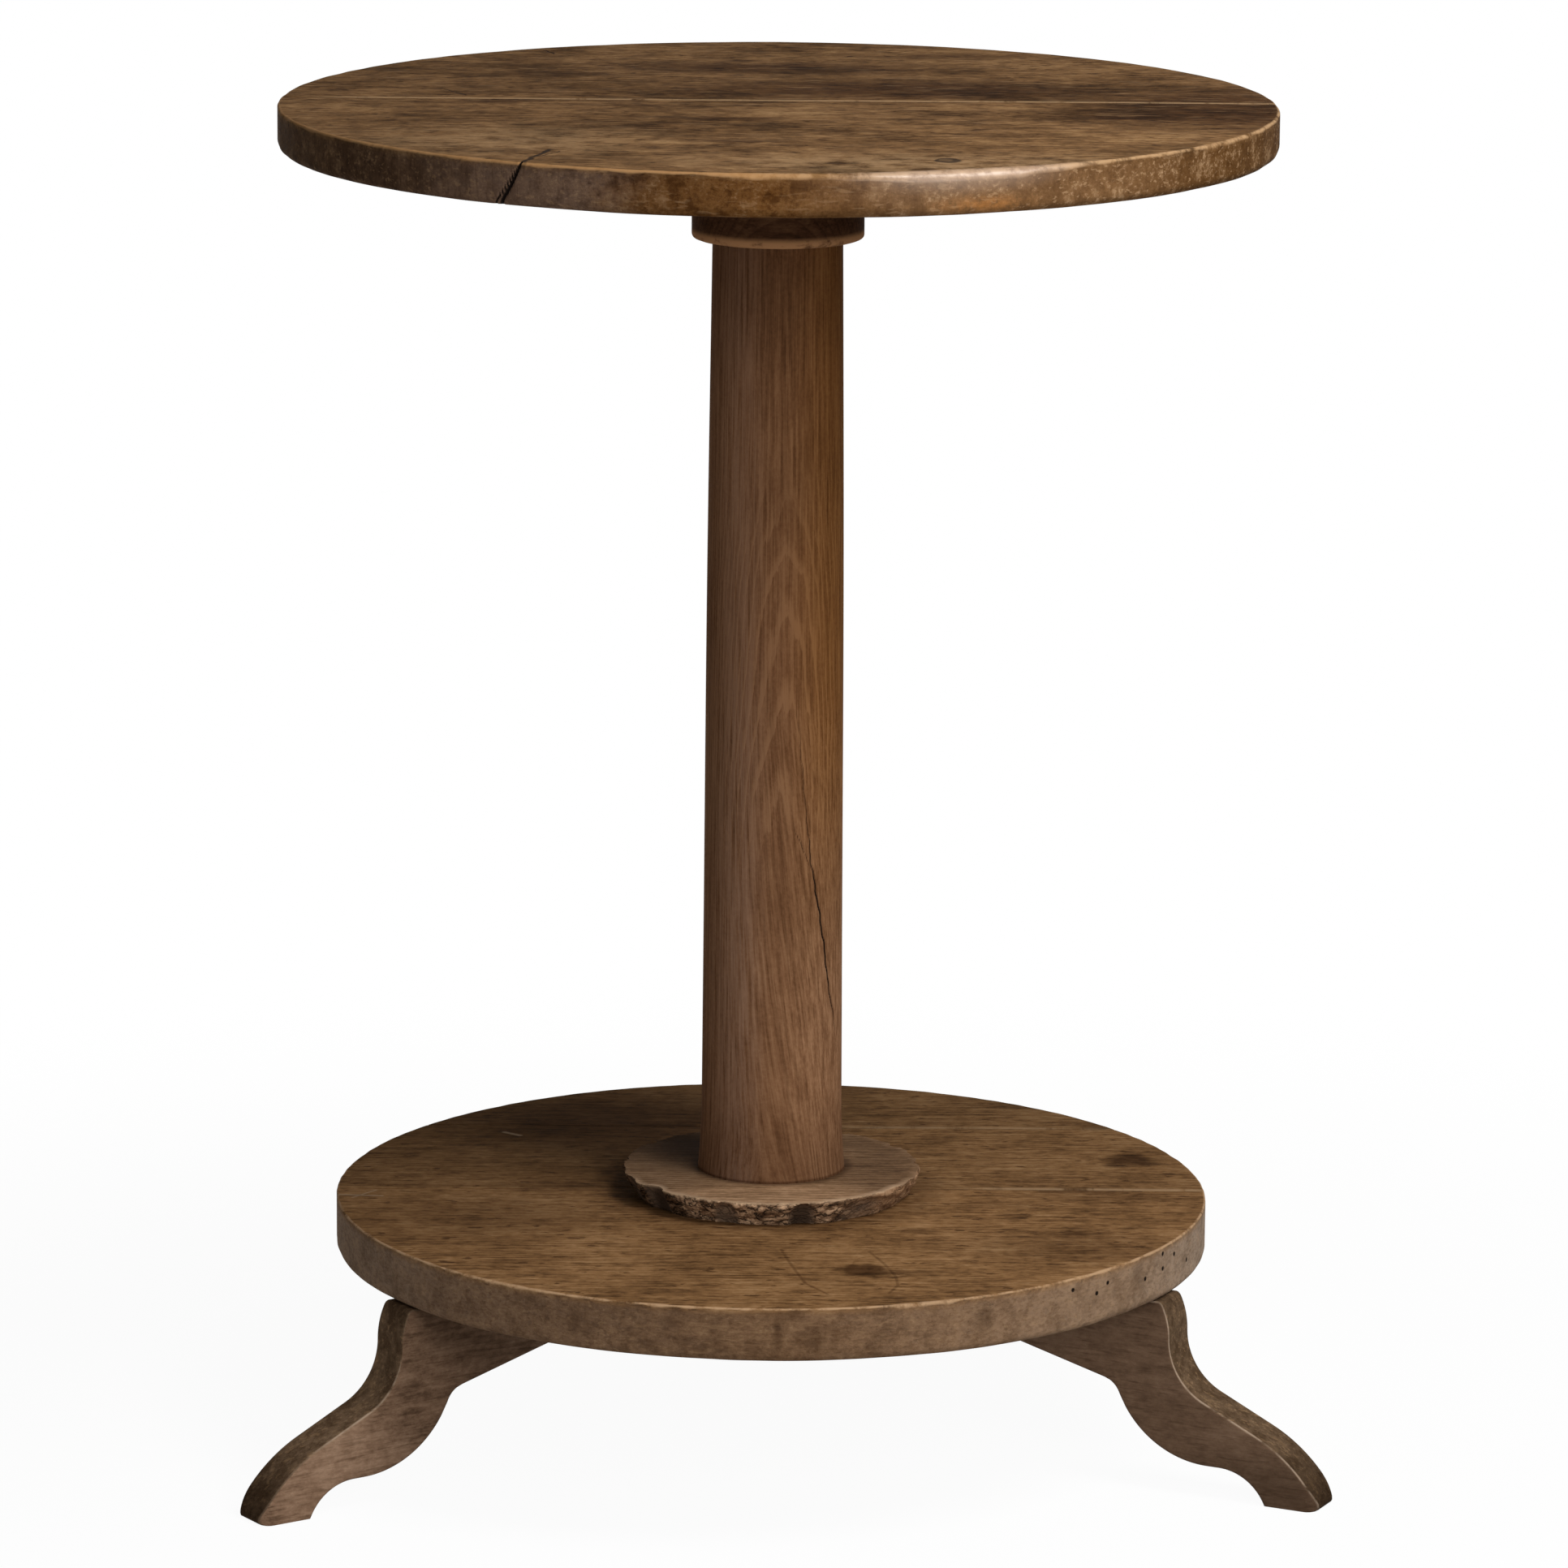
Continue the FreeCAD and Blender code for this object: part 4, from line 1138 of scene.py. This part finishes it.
def ring_grid():
    """Points of the ring: out over its face, down the cut edge, back under it and up its hole."""
    angle = np.linspace(-math.pi, math.pi, ROUND_RING, endpoint=False)
    level = np.linspace(1, 0, DOWN_EDGE)[:, None]
    recess, gouged = ring_recess(angle[None, :], level)
    edge_radius = RING_RADIUS - recess
    share = np.linspace(0, 1, OVER_FACE)[:-1, None]
    face_radius = LOWER_TENON + (edge_radius[:1] - LOWER_TENON) * share
    radius = np.concatenate([face_radius, edge_radius, np.full((1, angle.size), LOWER_TENON)])
    edge_height = RING_FLOOR + (RING_FACE - RING_FLOOR) * level
    height = np.concatenate([np.full(share.shape, RING_FACE), edge_height, [[RING_FLOOR]]])

    def on_edge(values):
        """A mask with these values on the edge and 0 on the face and in the hole."""
        return np.concatenate([0 * face_radius, values + 0 * edge_radius, np.zeros((1, angle.size))])

    arris = np.exp(-((1 - level) / 0.07) ** 2)
    masks = {"edge": on_edge(1), "gouge": on_edge(gouged), "wear": on_edge(arris)}
    masks["edge"][len(share)] = 0.3
    return turned(radius, angle, height), masks


# %% Finish of the foot ring
TORN_SHADES = [(0.37, (0.026, 0.014, 0.009)), (0.47, (0.175, 0.098, 0.054)), (0.58, (0.52, 0.335, 0.205))]
GRIME_AND_SHADOW = (0.32, 0.28, 0.26)
SCOOP = (0.66 * RING_RADIUS, -0.75 * RING_RADIUS)


def ring_finish():
    """Paler wood on the face, with a dark broken edge and a pale upper arris. Painted shade darkens the left
    of the edge, the hollow of the scoop, the deepest cuts, the face away from its front and round the column,
    and a painted shadow of the column lies behind it on the left.
    """
    f = Finish("gouged_ring_wood", seed=60.0)
    wood = old_wood(f, shades_of((0.120, 0.068, 0.036), (0.275, 0.160, 0.085), (0.420, 0.265, 0.155)),
                    pith=(-80.0, 120.0), ring_width=3.2, rings_show=0.7, patina=0.35,
                    shares=(0.36, 0.10, 0.25, 0.16))
    edge, gouge = f.worn("edge"), f.worn("gouge")
    flat = 1.0 - edge
    torn = f.noise(f.place * (0.45, 0.45, 1.0), 3.4, 6.0, 0.72)
    f.paint(edge * 0.85, f.ramp(torn, TORN_SHADES))
    crackle = f.noise(f.place * (0.5, 0.5, 1.0), 5.0, 3.0, 0.6)
    gaps = f.step(crackle, 0.455, 0.495) * f.step(crackle, 0.545, 0.505)
    cut_clean = f.step(f.x, 30.0, 62.0)
    f.paint(cut_clean * edge * 0.6, (0.350, 0.200, 0.105))
    f.paint(gaps * edge * (0.85 - cut_clean * 0.6), SOOT)
    # Painted shade: the left part of the edge is darker, away from the lamps.
    painted_shade_left = f.step(f.x, -34.0, -58.0)
    f.shade(painted_shade_left * edge * 0.88, (0.24, 0.21, 0.19))
    # Painted shade: the face is darker everywhere but a lit patch in front.
    painted_lit_front = f.spot(f.place * FLAT, (-4.0, -72.0, 0.0), (86.0, 52.0, 1.0), 0.6)
    f.shade(flat * (1.0 - painted_lit_front) * 0.85, (0.45, 0.43, 0.41))
    f.paint(f.step(gouge, 0.5, 5.0) * (0.8 - cut_clean * 0.5), (0.118, 0.077, 0.051))
    # Painted shade: dark grey in the hollow of the broad scoop.
    scoop = f.spot(f.place, (*SCOOP, RING_FLOOR + 6.0), (13.0, 13.0, 6.0), 0.8)
    f.paint(scoop * edge * 0.6, (0.080, 0.064, 0.057))
    # Painted shade: the deepest parts of the cuts are nearly black.
    f.paint(f.step(gouge, 4.5, 7.0) * 0.75, (0.034, 0.020, 0.013))
    f.paint(f.worn("wear") * f.step(f.y, -15.0, -45.0) * 0.65, (0.45, 0.305, 0.19))
    # Dirt and painted shade round the column's foot, and a painted shadow of the column behind it on the
    # left.
    grime_and_shade_by_column = f.step(f.length(f.place * FLAT), 47.0, 40.0) * 0.75
    f.shade(grime_and_shade_by_column * flat, GRIME_AND_SHADOW)
    behind = f.spot(f.place * FLAT, (-46.0, 38.0, 0.0), (36.0, 44.0, 1.0), 0.8) * 0.7
    f.shade(behind * flat, GRIME_AND_SHADOW)
    height = wood["height"] * 0.6 + edge * (torn * 2.0 - gaps)
    return f.done(wood["roughness"] + edge * 0.15, height, 0.4)


# %% Make the foot ring
shape, masks = ring_grid()
piece("gouged_foot_ring", shape, masks, ["foot_ring"], "ring_wood", ring_finish(), rows_close=True)

# %% [markdown]
# ## Legs
# Each leg is sawn from a plank to a double curve. Two curves hold its shape: the outer one from the shelf
# over the heel and the shin to the toe, and the inner one along the bracket, the belly and the instep to
# the sole. A section is stretched between the two, with eased corners, and carried down the leg. A filled
# outline that is extruded has the same side view, but no rows of points to thin the toe and wear the edge.

# %% Measures of a leg
LEG_HEIGHT = SHELF["floor"]
LEG_HALF = 13.0
LEG_EASE = 1.6
HEEL = SHELF["radius"] + 6.5
TIP = HEEL + 90.0
LEG_INNER = 60.0
TOP_INNER, HEEL_TOP = (LEG_INNER, LEG_HEIGHT), (HEEL - 6.0, LEG_HEIGHT)
SHOULDER = (HEEL - 4.4, LEG_HEIGHT - 1.4)
HEEL_BOTTOM, WAIST = (HEEL, LEG_HEIGHT - 20.0), (HEEL + 20.5, LEG_HEIGHT - 52.5)
SHIN = 33.5
INNER_LOW, NOTCH = (LEG_INNER, LEG_HEIGHT - 7.0), (HEEL - 31.0, 57.0)
INSTEP_HEIGHT = 17.2
INSTEP, BELLY, SOLE_INNER = (TIP - 60.0, INSTEP_HEIGHT), (TIP - 67.0, INSTEP_HEIGHT), (TIP - 33.5, 0.0)
NOTCH_ROUND = 7.0
TOE_ROUND = 7.5
TOE_TAPER, TOE_NARROWED = 11.0, 0.78
OUTER_MARKS = np.array([0, 0.455, 0.525, 0.563, 0.600, 0.720, 0.823, 1.0])
INNER_MARKS = np.array([0, 0.575, 0.625, 0.650, 0.690, 0.790, 0.872, 1.0])
PAIRED_STEPS = [44, 10, 12, 10, 34, 30, 40]
print("leg", round(LEG_HEIGHT, 1), "mm high, its toe", round(TIP, 1), "mm from the axis")

# %% Curves of a leg


def arc(start, heading, end, count=40):
    """Arc that leaves start at a heading and reaches end. A chord of an arc turns half as fast as the arc."""
    start, end = np.array(start), np.array(end)
    chord = end - start
    first = math.radians(heading)
    turn = (math.atan2(chord[1], chord[0]) - first + math.pi) % (2 * math.pi) - math.pi
    share = np.linspace(0, 1, count)
    reach = np.hypot(*chord) * np.sin(turn * share) / math.sin(turn)
    return start + np.stack([reach * np.cos(first + turn * share), reach * np.sin(first + turn * share)], -1)


def rounded_corner(before, corner, after, radius):
    """Curve that cuts a corner: a parabola between the points a radius away from it."""
    before, corner, after = (np.array(p) for p in (before, corner, after))
    start = corner + radius * (before - corner) / np.hypot(*(before - corner))
    end = corner + radius * (after - corner) / np.hypot(*(after - corner))
    share = np.linspace(0, 1, 12)[:, None]
    return (1 - share) ** 2 * start + 2 * share * (1 - share) * corner + share ** 2 * end


def resampled(parts, marks, counts):
    """One curve from parts, cut anew: marks are shares of its length, counts the steps between them."""
    line = np.concatenate(parts)
    reach = np.concatenate([[0], np.cumsum(np.hypot(*np.diff(line, axis=0).T))])
    steps = [np.linspace(a, b, n, endpoint=False) for a, b, n in zip(marks, marks[1:], counts)]
    where = np.concatenate([*steps, marks[-1:]])
    return np.stack([np.interp(where * reach[-1], reach, line[:, k]) for k in (0, 1)], -1)


def leg_curves():
    """Outer and inner curve of a leg, cut so that their points pair up across the leg."""
    chord = math.atan2(WAIST[1] - HEEL_BOTTOM[1], WAIST[0] - HEEL_BOTTOM[0])
    slope = 2 * math.degrees(chord) + 90.0
    toe = np.array(WAIST) + SHIN * np.array([math.cos(math.radians(slope)), math.sin(math.radians(slope))])
    outer = [np.array([TOP_INNER, HEEL_TOP]), arc(SHOULDER, -63, HEEL_BOTTOM),
             arc(HEEL_BOTTOM, -90, WAIST)[1:], arc(toe, slope, (TIP, 0.0))[:-8]]
    outer.append(rounded_corner(outer[-1][-1], (TIP, 0.0), SOLE_INNER, TOE_ROUND))
    belly = arc(BELLY, 180, NOTCH)[::-1]
    inner = [np.array([INNER_LOW]), rounded_corner(INNER_LOW, NOTCH, belly[4], NOTCH_ROUND), belly[8:],
             arc(INSTEP, 0, SOLE_INNER)]
    return resampled(outer, OUTER_MARKS, PAIRED_STEPS), resampled(inner, INNER_MARKS, PAIRED_STEPS)


# %% Sections of a leg


def leg_grid(heading, worn_side):
    """Points of a leg at a heading: a rectangle with eased corners between each pair of points."""
    outer, inner = leg_curves()
    width = np.hypot(*(inner - outer).T)[:, None]
    turn = np.linspace(0, math.pi / 2, 6)
    ease = np.minimum(LEG_EASE, 0.2 * width)
    side = np.linspace(0, 1, 16)[1:-1]
    edge = np.linspace(-1, 1, 9)[1:-1]
    reach = LEG_HALF - LEG_EASE
    corner_across, corner_along = LEG_EASE * np.sin(turn), 1 - np.cos(turn)
    upper = np.concatenate([0 * edge + 0 * width, ease * corner_along], axis=1)
    upper_across = np.concatenate([edge * reach, reach + corner_across])
    lower = np.concatenate([width - ease * corner_along[::-1], width + 0 * edge], axis=1)
    lower_across = np.concatenate([reach + corner_across[::-1], -edge * reach])
    down = np.concatenate([upper, ease + (width - 2 * ease) * side, lower, width - ease * corner_along,
                           width - ease - (width - 2 * ease) * side, ease * corner_along[::-1]], axis=1)
    across = np.concatenate([upper_across, 0 * side + LEG_HALF, lower_across, -(reach + corner_across),
                             0 * side - LEG_HALF, -(reach + corner_across[::-1])])
    flat = outer[:, None, :] + (inner - outer)[:, None, :] * (down / width)[..., None]
    facing_out = np.exp(-(down / 1.2) ** 2)
    corner = (across * worn_side - reach) / LEG_EASE - (1 - down / LEG_EASE)
    arris = np.exp(-(corner / 0.32) ** 2) * (across * worn_side > reach) * (down < 1.01 * LEG_EASE)
    outer_face = facing_out * (np.abs(across) < LEG_HALF - 0.2)
    to_tip = np.clip((flat[..., 0] - TIP + TOE_TAPER) / TOE_TAPER, 0, 1)
    across = across * np.sqrt(1 - TOE_NARROWED * to_tip ** 2)
    angle = math.radians(heading)
    x = flat[..., 0] * math.cos(angle) - across * math.sin(angle)
    y = flat[..., 0] * math.sin(angle) + across * math.cos(angle)
    return np.stack([x, y, flat[..., 1]], -1), {"wear": arris, "outer": outer_face}


# %% Finish of a leg
LEG_SHADES = np.array([(0.096, 0.055, 0.033), (0.184, 0.111, 0.069), (0.272, 0.175, 0.114)])


def leg_finish(name, heading, seed, tone, contrast, dirt, line_span):
    """Greyed wood, grain along the leg, with a pale thin line on its worn arris, dark dirt at the toe and
    painted shade at its top, under the shelf.

    tone is how light the wood is, and contrast how far its shades lie apart. dirt is how dark the toe's sides
    are, and line_span the heights between which the worn line is strong.
    """
    f = Finish(name, turn=(0.0, 0.0, -math.radians(heading)), seed=seed)
    shades = tone * (LEG_SHADES[1] + (LEG_SHADES - LEG_SHADES[1]) * contrast)
    wood = old_wood(f, shades_of(*map(tuple, shades)), pith=(20.0 + seed, 190.0 + seed), ring_width=3.6,
                    rings_show=0.15, patina=0.3, shares=(0.20, 0.06, 0.38, 0.22), patch=(6.0, 0.5))
    outer = f.worn("outer")
    f.paint(outer * 0.7, (0.105, 0.068, 0.038))
    patches = handled(f, outer, 0.6, 0.3)
    toe = f.step(f.z, 42.0, 8.0) * (dirt + outer * (0.9 - dirt))
    f.shade(toe * f.step(wood["clouds"], 0.3, 0.55), (0.30, 0.28, 0.26))
    # Painted shade: the top of the leg is darker, under the shelf.
    f.shade(f.step(f.z, LEG_HEIGHT - 12.0, LEG_HEIGHT) * 0.5, SMOKE_AND_SHADE)
    low, high = line_span
    kept = f.step(f.z, low, low + 12.0) * f.step(f.z, high, high - 12.0) * 0.85 + 0.15
    line = f.worn("wear") * kept * f.step(f.noise(f.place, 20.0, 4.0, 0.65), 0.34, 0.56)
    f.paint(line * 0.9, (0.46, 0.345, 0.25))
    return f.done(wood["roughness"] + 0.05, wood["height"] + patches * 0.6, 0.22)


# %% Make the legs
LEGS = {
    "left": dict(heading=213.9, worn_side=1, tone=1.12, contrast=1.0, dirt=0.0, line_span=(32.0, 84.0)),
    "right": dict(heading=333.9, worn_side=-1, tone=0.83, contrast=0.6, dirt=0.7, line_span=(-20.0, 130.0)),
    "back": dict(heading=93.9, worn_side=1, tone=1.0, contrast=0.8, dirt=0.3, line_span=(20.0, 90.0)),
}
for order, (side, leg) in enumerate(LEGS.items()):
    shape, masks = leg_grid(leg["heading"], leg.pop("worn_side"))
    piece(f"{side}_leg", shape, masks, [f"leg_{side}"], "leg_wood",
          leg_finish(f"{side}_leg_wood", seed=35.0 * order, **leg), caps=(True, True))

# %% [markdown]
# ## Pieces that stay as they are
# The bearer under the top, its screws, the wedges and the loose tongues keep their own solids. Only the
# bearer, the screw heads and one wedge can be seen, from below. They get plain unwaxed wood and dark iron.

# %% Finishes of the hidden pieces


def plain_wood(name, turn, seed, pith):
    """Unwaxed wood, dusty and rough."""
    f = Finish(name, turn=turn, seed=seed)
    shades = shades_of((0.075, 0.050, 0.030), (0.165, 0.115, 0.072), (0.26, 0.19, 0.125))
    wood = old_wood(f, shades, pith=pith, ring_width=3.8, patina=0.5)
    return f.done(wood["roughness"] + 0.25, wood["height"], 0.3)


def old_iron():
    """Dark iron with a brown bloom of rust."""
    f = Finish("old_iron")
    rust = f.step(f.noise(f.place, 1.6, 4.0, 0.65), 0.45, 0.62)
    f.colour = f.mix(rust, (0.075, 0.070, 0.066), (0.085, 0.040, 0.020))
    f.tree.links.new((0.9 - rust * 0.75).socket, f.shader.inputs["Metallic"])
    return f.done(0.42 + rust * 0.35, rust, 0.12)


ALONG_Y = (0.0, 0.0, -math.pi / 2)
bearer_wood = plain_wood("bearer_wood", ALONG_Y, 20.0, (60.0, 640.0))
tongue_wood = plain_wood("tongue_wood", ALONG_Y, 50.0, (0.0, 60.0))
wedge_wood = plain_wood("wedge_wood", UPRIGHT, 80.0, (30.0, 30.0))
iron = old_iron()
PLAIN = {"top_bearer": bearer_wood, "top_joint_tongues": tongue_wood, "base_joint_tongues": tongue_wood,
         "top_tenon_wedge": wedge_wood, "bottom_tenon_wedge": wedge_wood, "bearer_screws": iron}
for node, material in PLAIN.items():
    frame["nodes"][node].data.materials.clear()
    frame["nodes"][node].data.materials.append(material)
print("kept as they are:", sorted(PLAIN))

# %% [markdown]
# ## Floor and light
# Four soft panels light the table. The key stands high on the right of the camera and a broad one in front.
# A low one on the left opens the shadows under the top, and a low one behind lights the far side, but isn't
# seen in the wax. The room gives a weak even fill. The floor is pale, and to the camera it is almost white,
# but it keeps the table's shadow.

# %% Floor
FLOOR_HALF = 60.0
FLOOR_GLOW = 0.955
GREY, PALE, WHITE = (0.5, 0.5, 0.5), (0.8, 0.8, 0.8), (1.0, 1.0, 1.0)


def floor_finish():
    """Pale matt floor; the camera sees it nearly white near the table and white further off."""
    f = Finish("pale_floor")
    f.shader.inputs["Roughness"].default_value = 0.9
    f.shader.inputs["Specular IOR Level"].default_value = 0.0
    far = f.step(f.length(f.place), 350.0, 1100.0)
    glow = f.node("ShaderNodeEmission", {}, {"Color": WHITE, "Strength": 1.0})
    seen = f.seen_directly()
    f.tree.links.new(f.mix(seen, GREY, PALE).socket, f.shader.inputs["Base Color"])
    matt = Wire(f, f.shader.outputs[0])
    both = f.node("ShaderNodeMixShader", {}, {
        0: seen * (FLOOR_GLOW + far * (1.0 - FLOOR_GLOW)), 1: matt, 2: glow})
    f.tree.links.new(both.socket, f.tree.nodes["Material Output"].inputs["Surface"])
    return f.material


floor_mesh = bpy.data.meshes.new("floor")
corners = FLOOR_HALF * np.array([(-1, -1, 0), (1, -1, 0), (1, 1, 0), (-1, 1, 0)])
floor_mesh.from_pydata(corners.tolist(), [], [(0, 1, 2, 3)])
floor_mesh.materials.append(floor_finish())
floor = bpy.data.objects.new("floor", floor_mesh)
bpy.context.scene.collection.objects.link(floor)
print("floor", 2 * FLOOR_HALF, "m across")

# %% Lamps
TABLE_MIDDLE = Vector((AXIS[0] * MM, AXIS[1] * MM, 0.42))


def panel(name, azimuth, elevation, distance, size, watts):
    """Soft panel that faces the middle of the table. Azimuth is counted from the camera to the right."""
    lamp_data = bpy.data.lights.new(name, "AREA")
    lamp_data.shape = "RECTANGLE"
    lamp_data.size, lamp_data.size_y = size
    lamp_data.energy = watts
    lamp = bpy.data.objects.new(name, lamp_data)
    bpy.context.scene.collection.objects.link(lamp)
    turn, rise = math.radians(azimuth), math.radians(elevation)
    towards = Vector((math.sin(turn) * math.cos(rise), -math.cos(turn) * math.cos(rise), math.sin(rise)))
    lamp.location = TABLE_MIDDLE + towards * distance
    lamp.rotation_euler = towards.to_track_quat("Z", "Y").to_euler()
    print("lamp", name, watts, "W at", [round(v, 2) for v in lamp.location])
    return lamp


panel("key_panel", azimuth=54.0, elevation=53.0, distance=1.9, size=(0.7, 0.9), watts=34.0)
panel("front_panel", azimuth=26.0, elevation=19.0, distance=2.6, size=(1.2, 1.0), watts=31.0)
panel("left_panel", azimuth=-34.0, elevation=-3.0, distance=2.6, size=(1.0, 0.5), watts=12.0)
rear = panel("rear_panel", azimuth=185.0, elevation=-2.0, distance=2.6, size=(1.6, 0.5), watts=16.0)
rear.visible_glossy = False

# %% Room
ROOM_LIGHT = 0.04
room = bpy.data.worlds.new("room")
room.use_nodes = True
bpy.context.scene.world = room
air = Graph(room.node_tree)
fill = air.node("ShaderNodeBackground", {}, {"Color": WHITE, "Strength": ROOM_LIGHT})
wall = air.node("ShaderNodeBackground", {}, {"Color": PALE, "Strength": 1.0})
both = air.node("ShaderNodeMixShader", {}, {0: air.seen_directly(), 1: fill, 2: wall})
air.tree.links.new(both.socket, air.tree.nodes["World Output"].inputs["Surface"])
print("room light", ROOM_LIGHT)
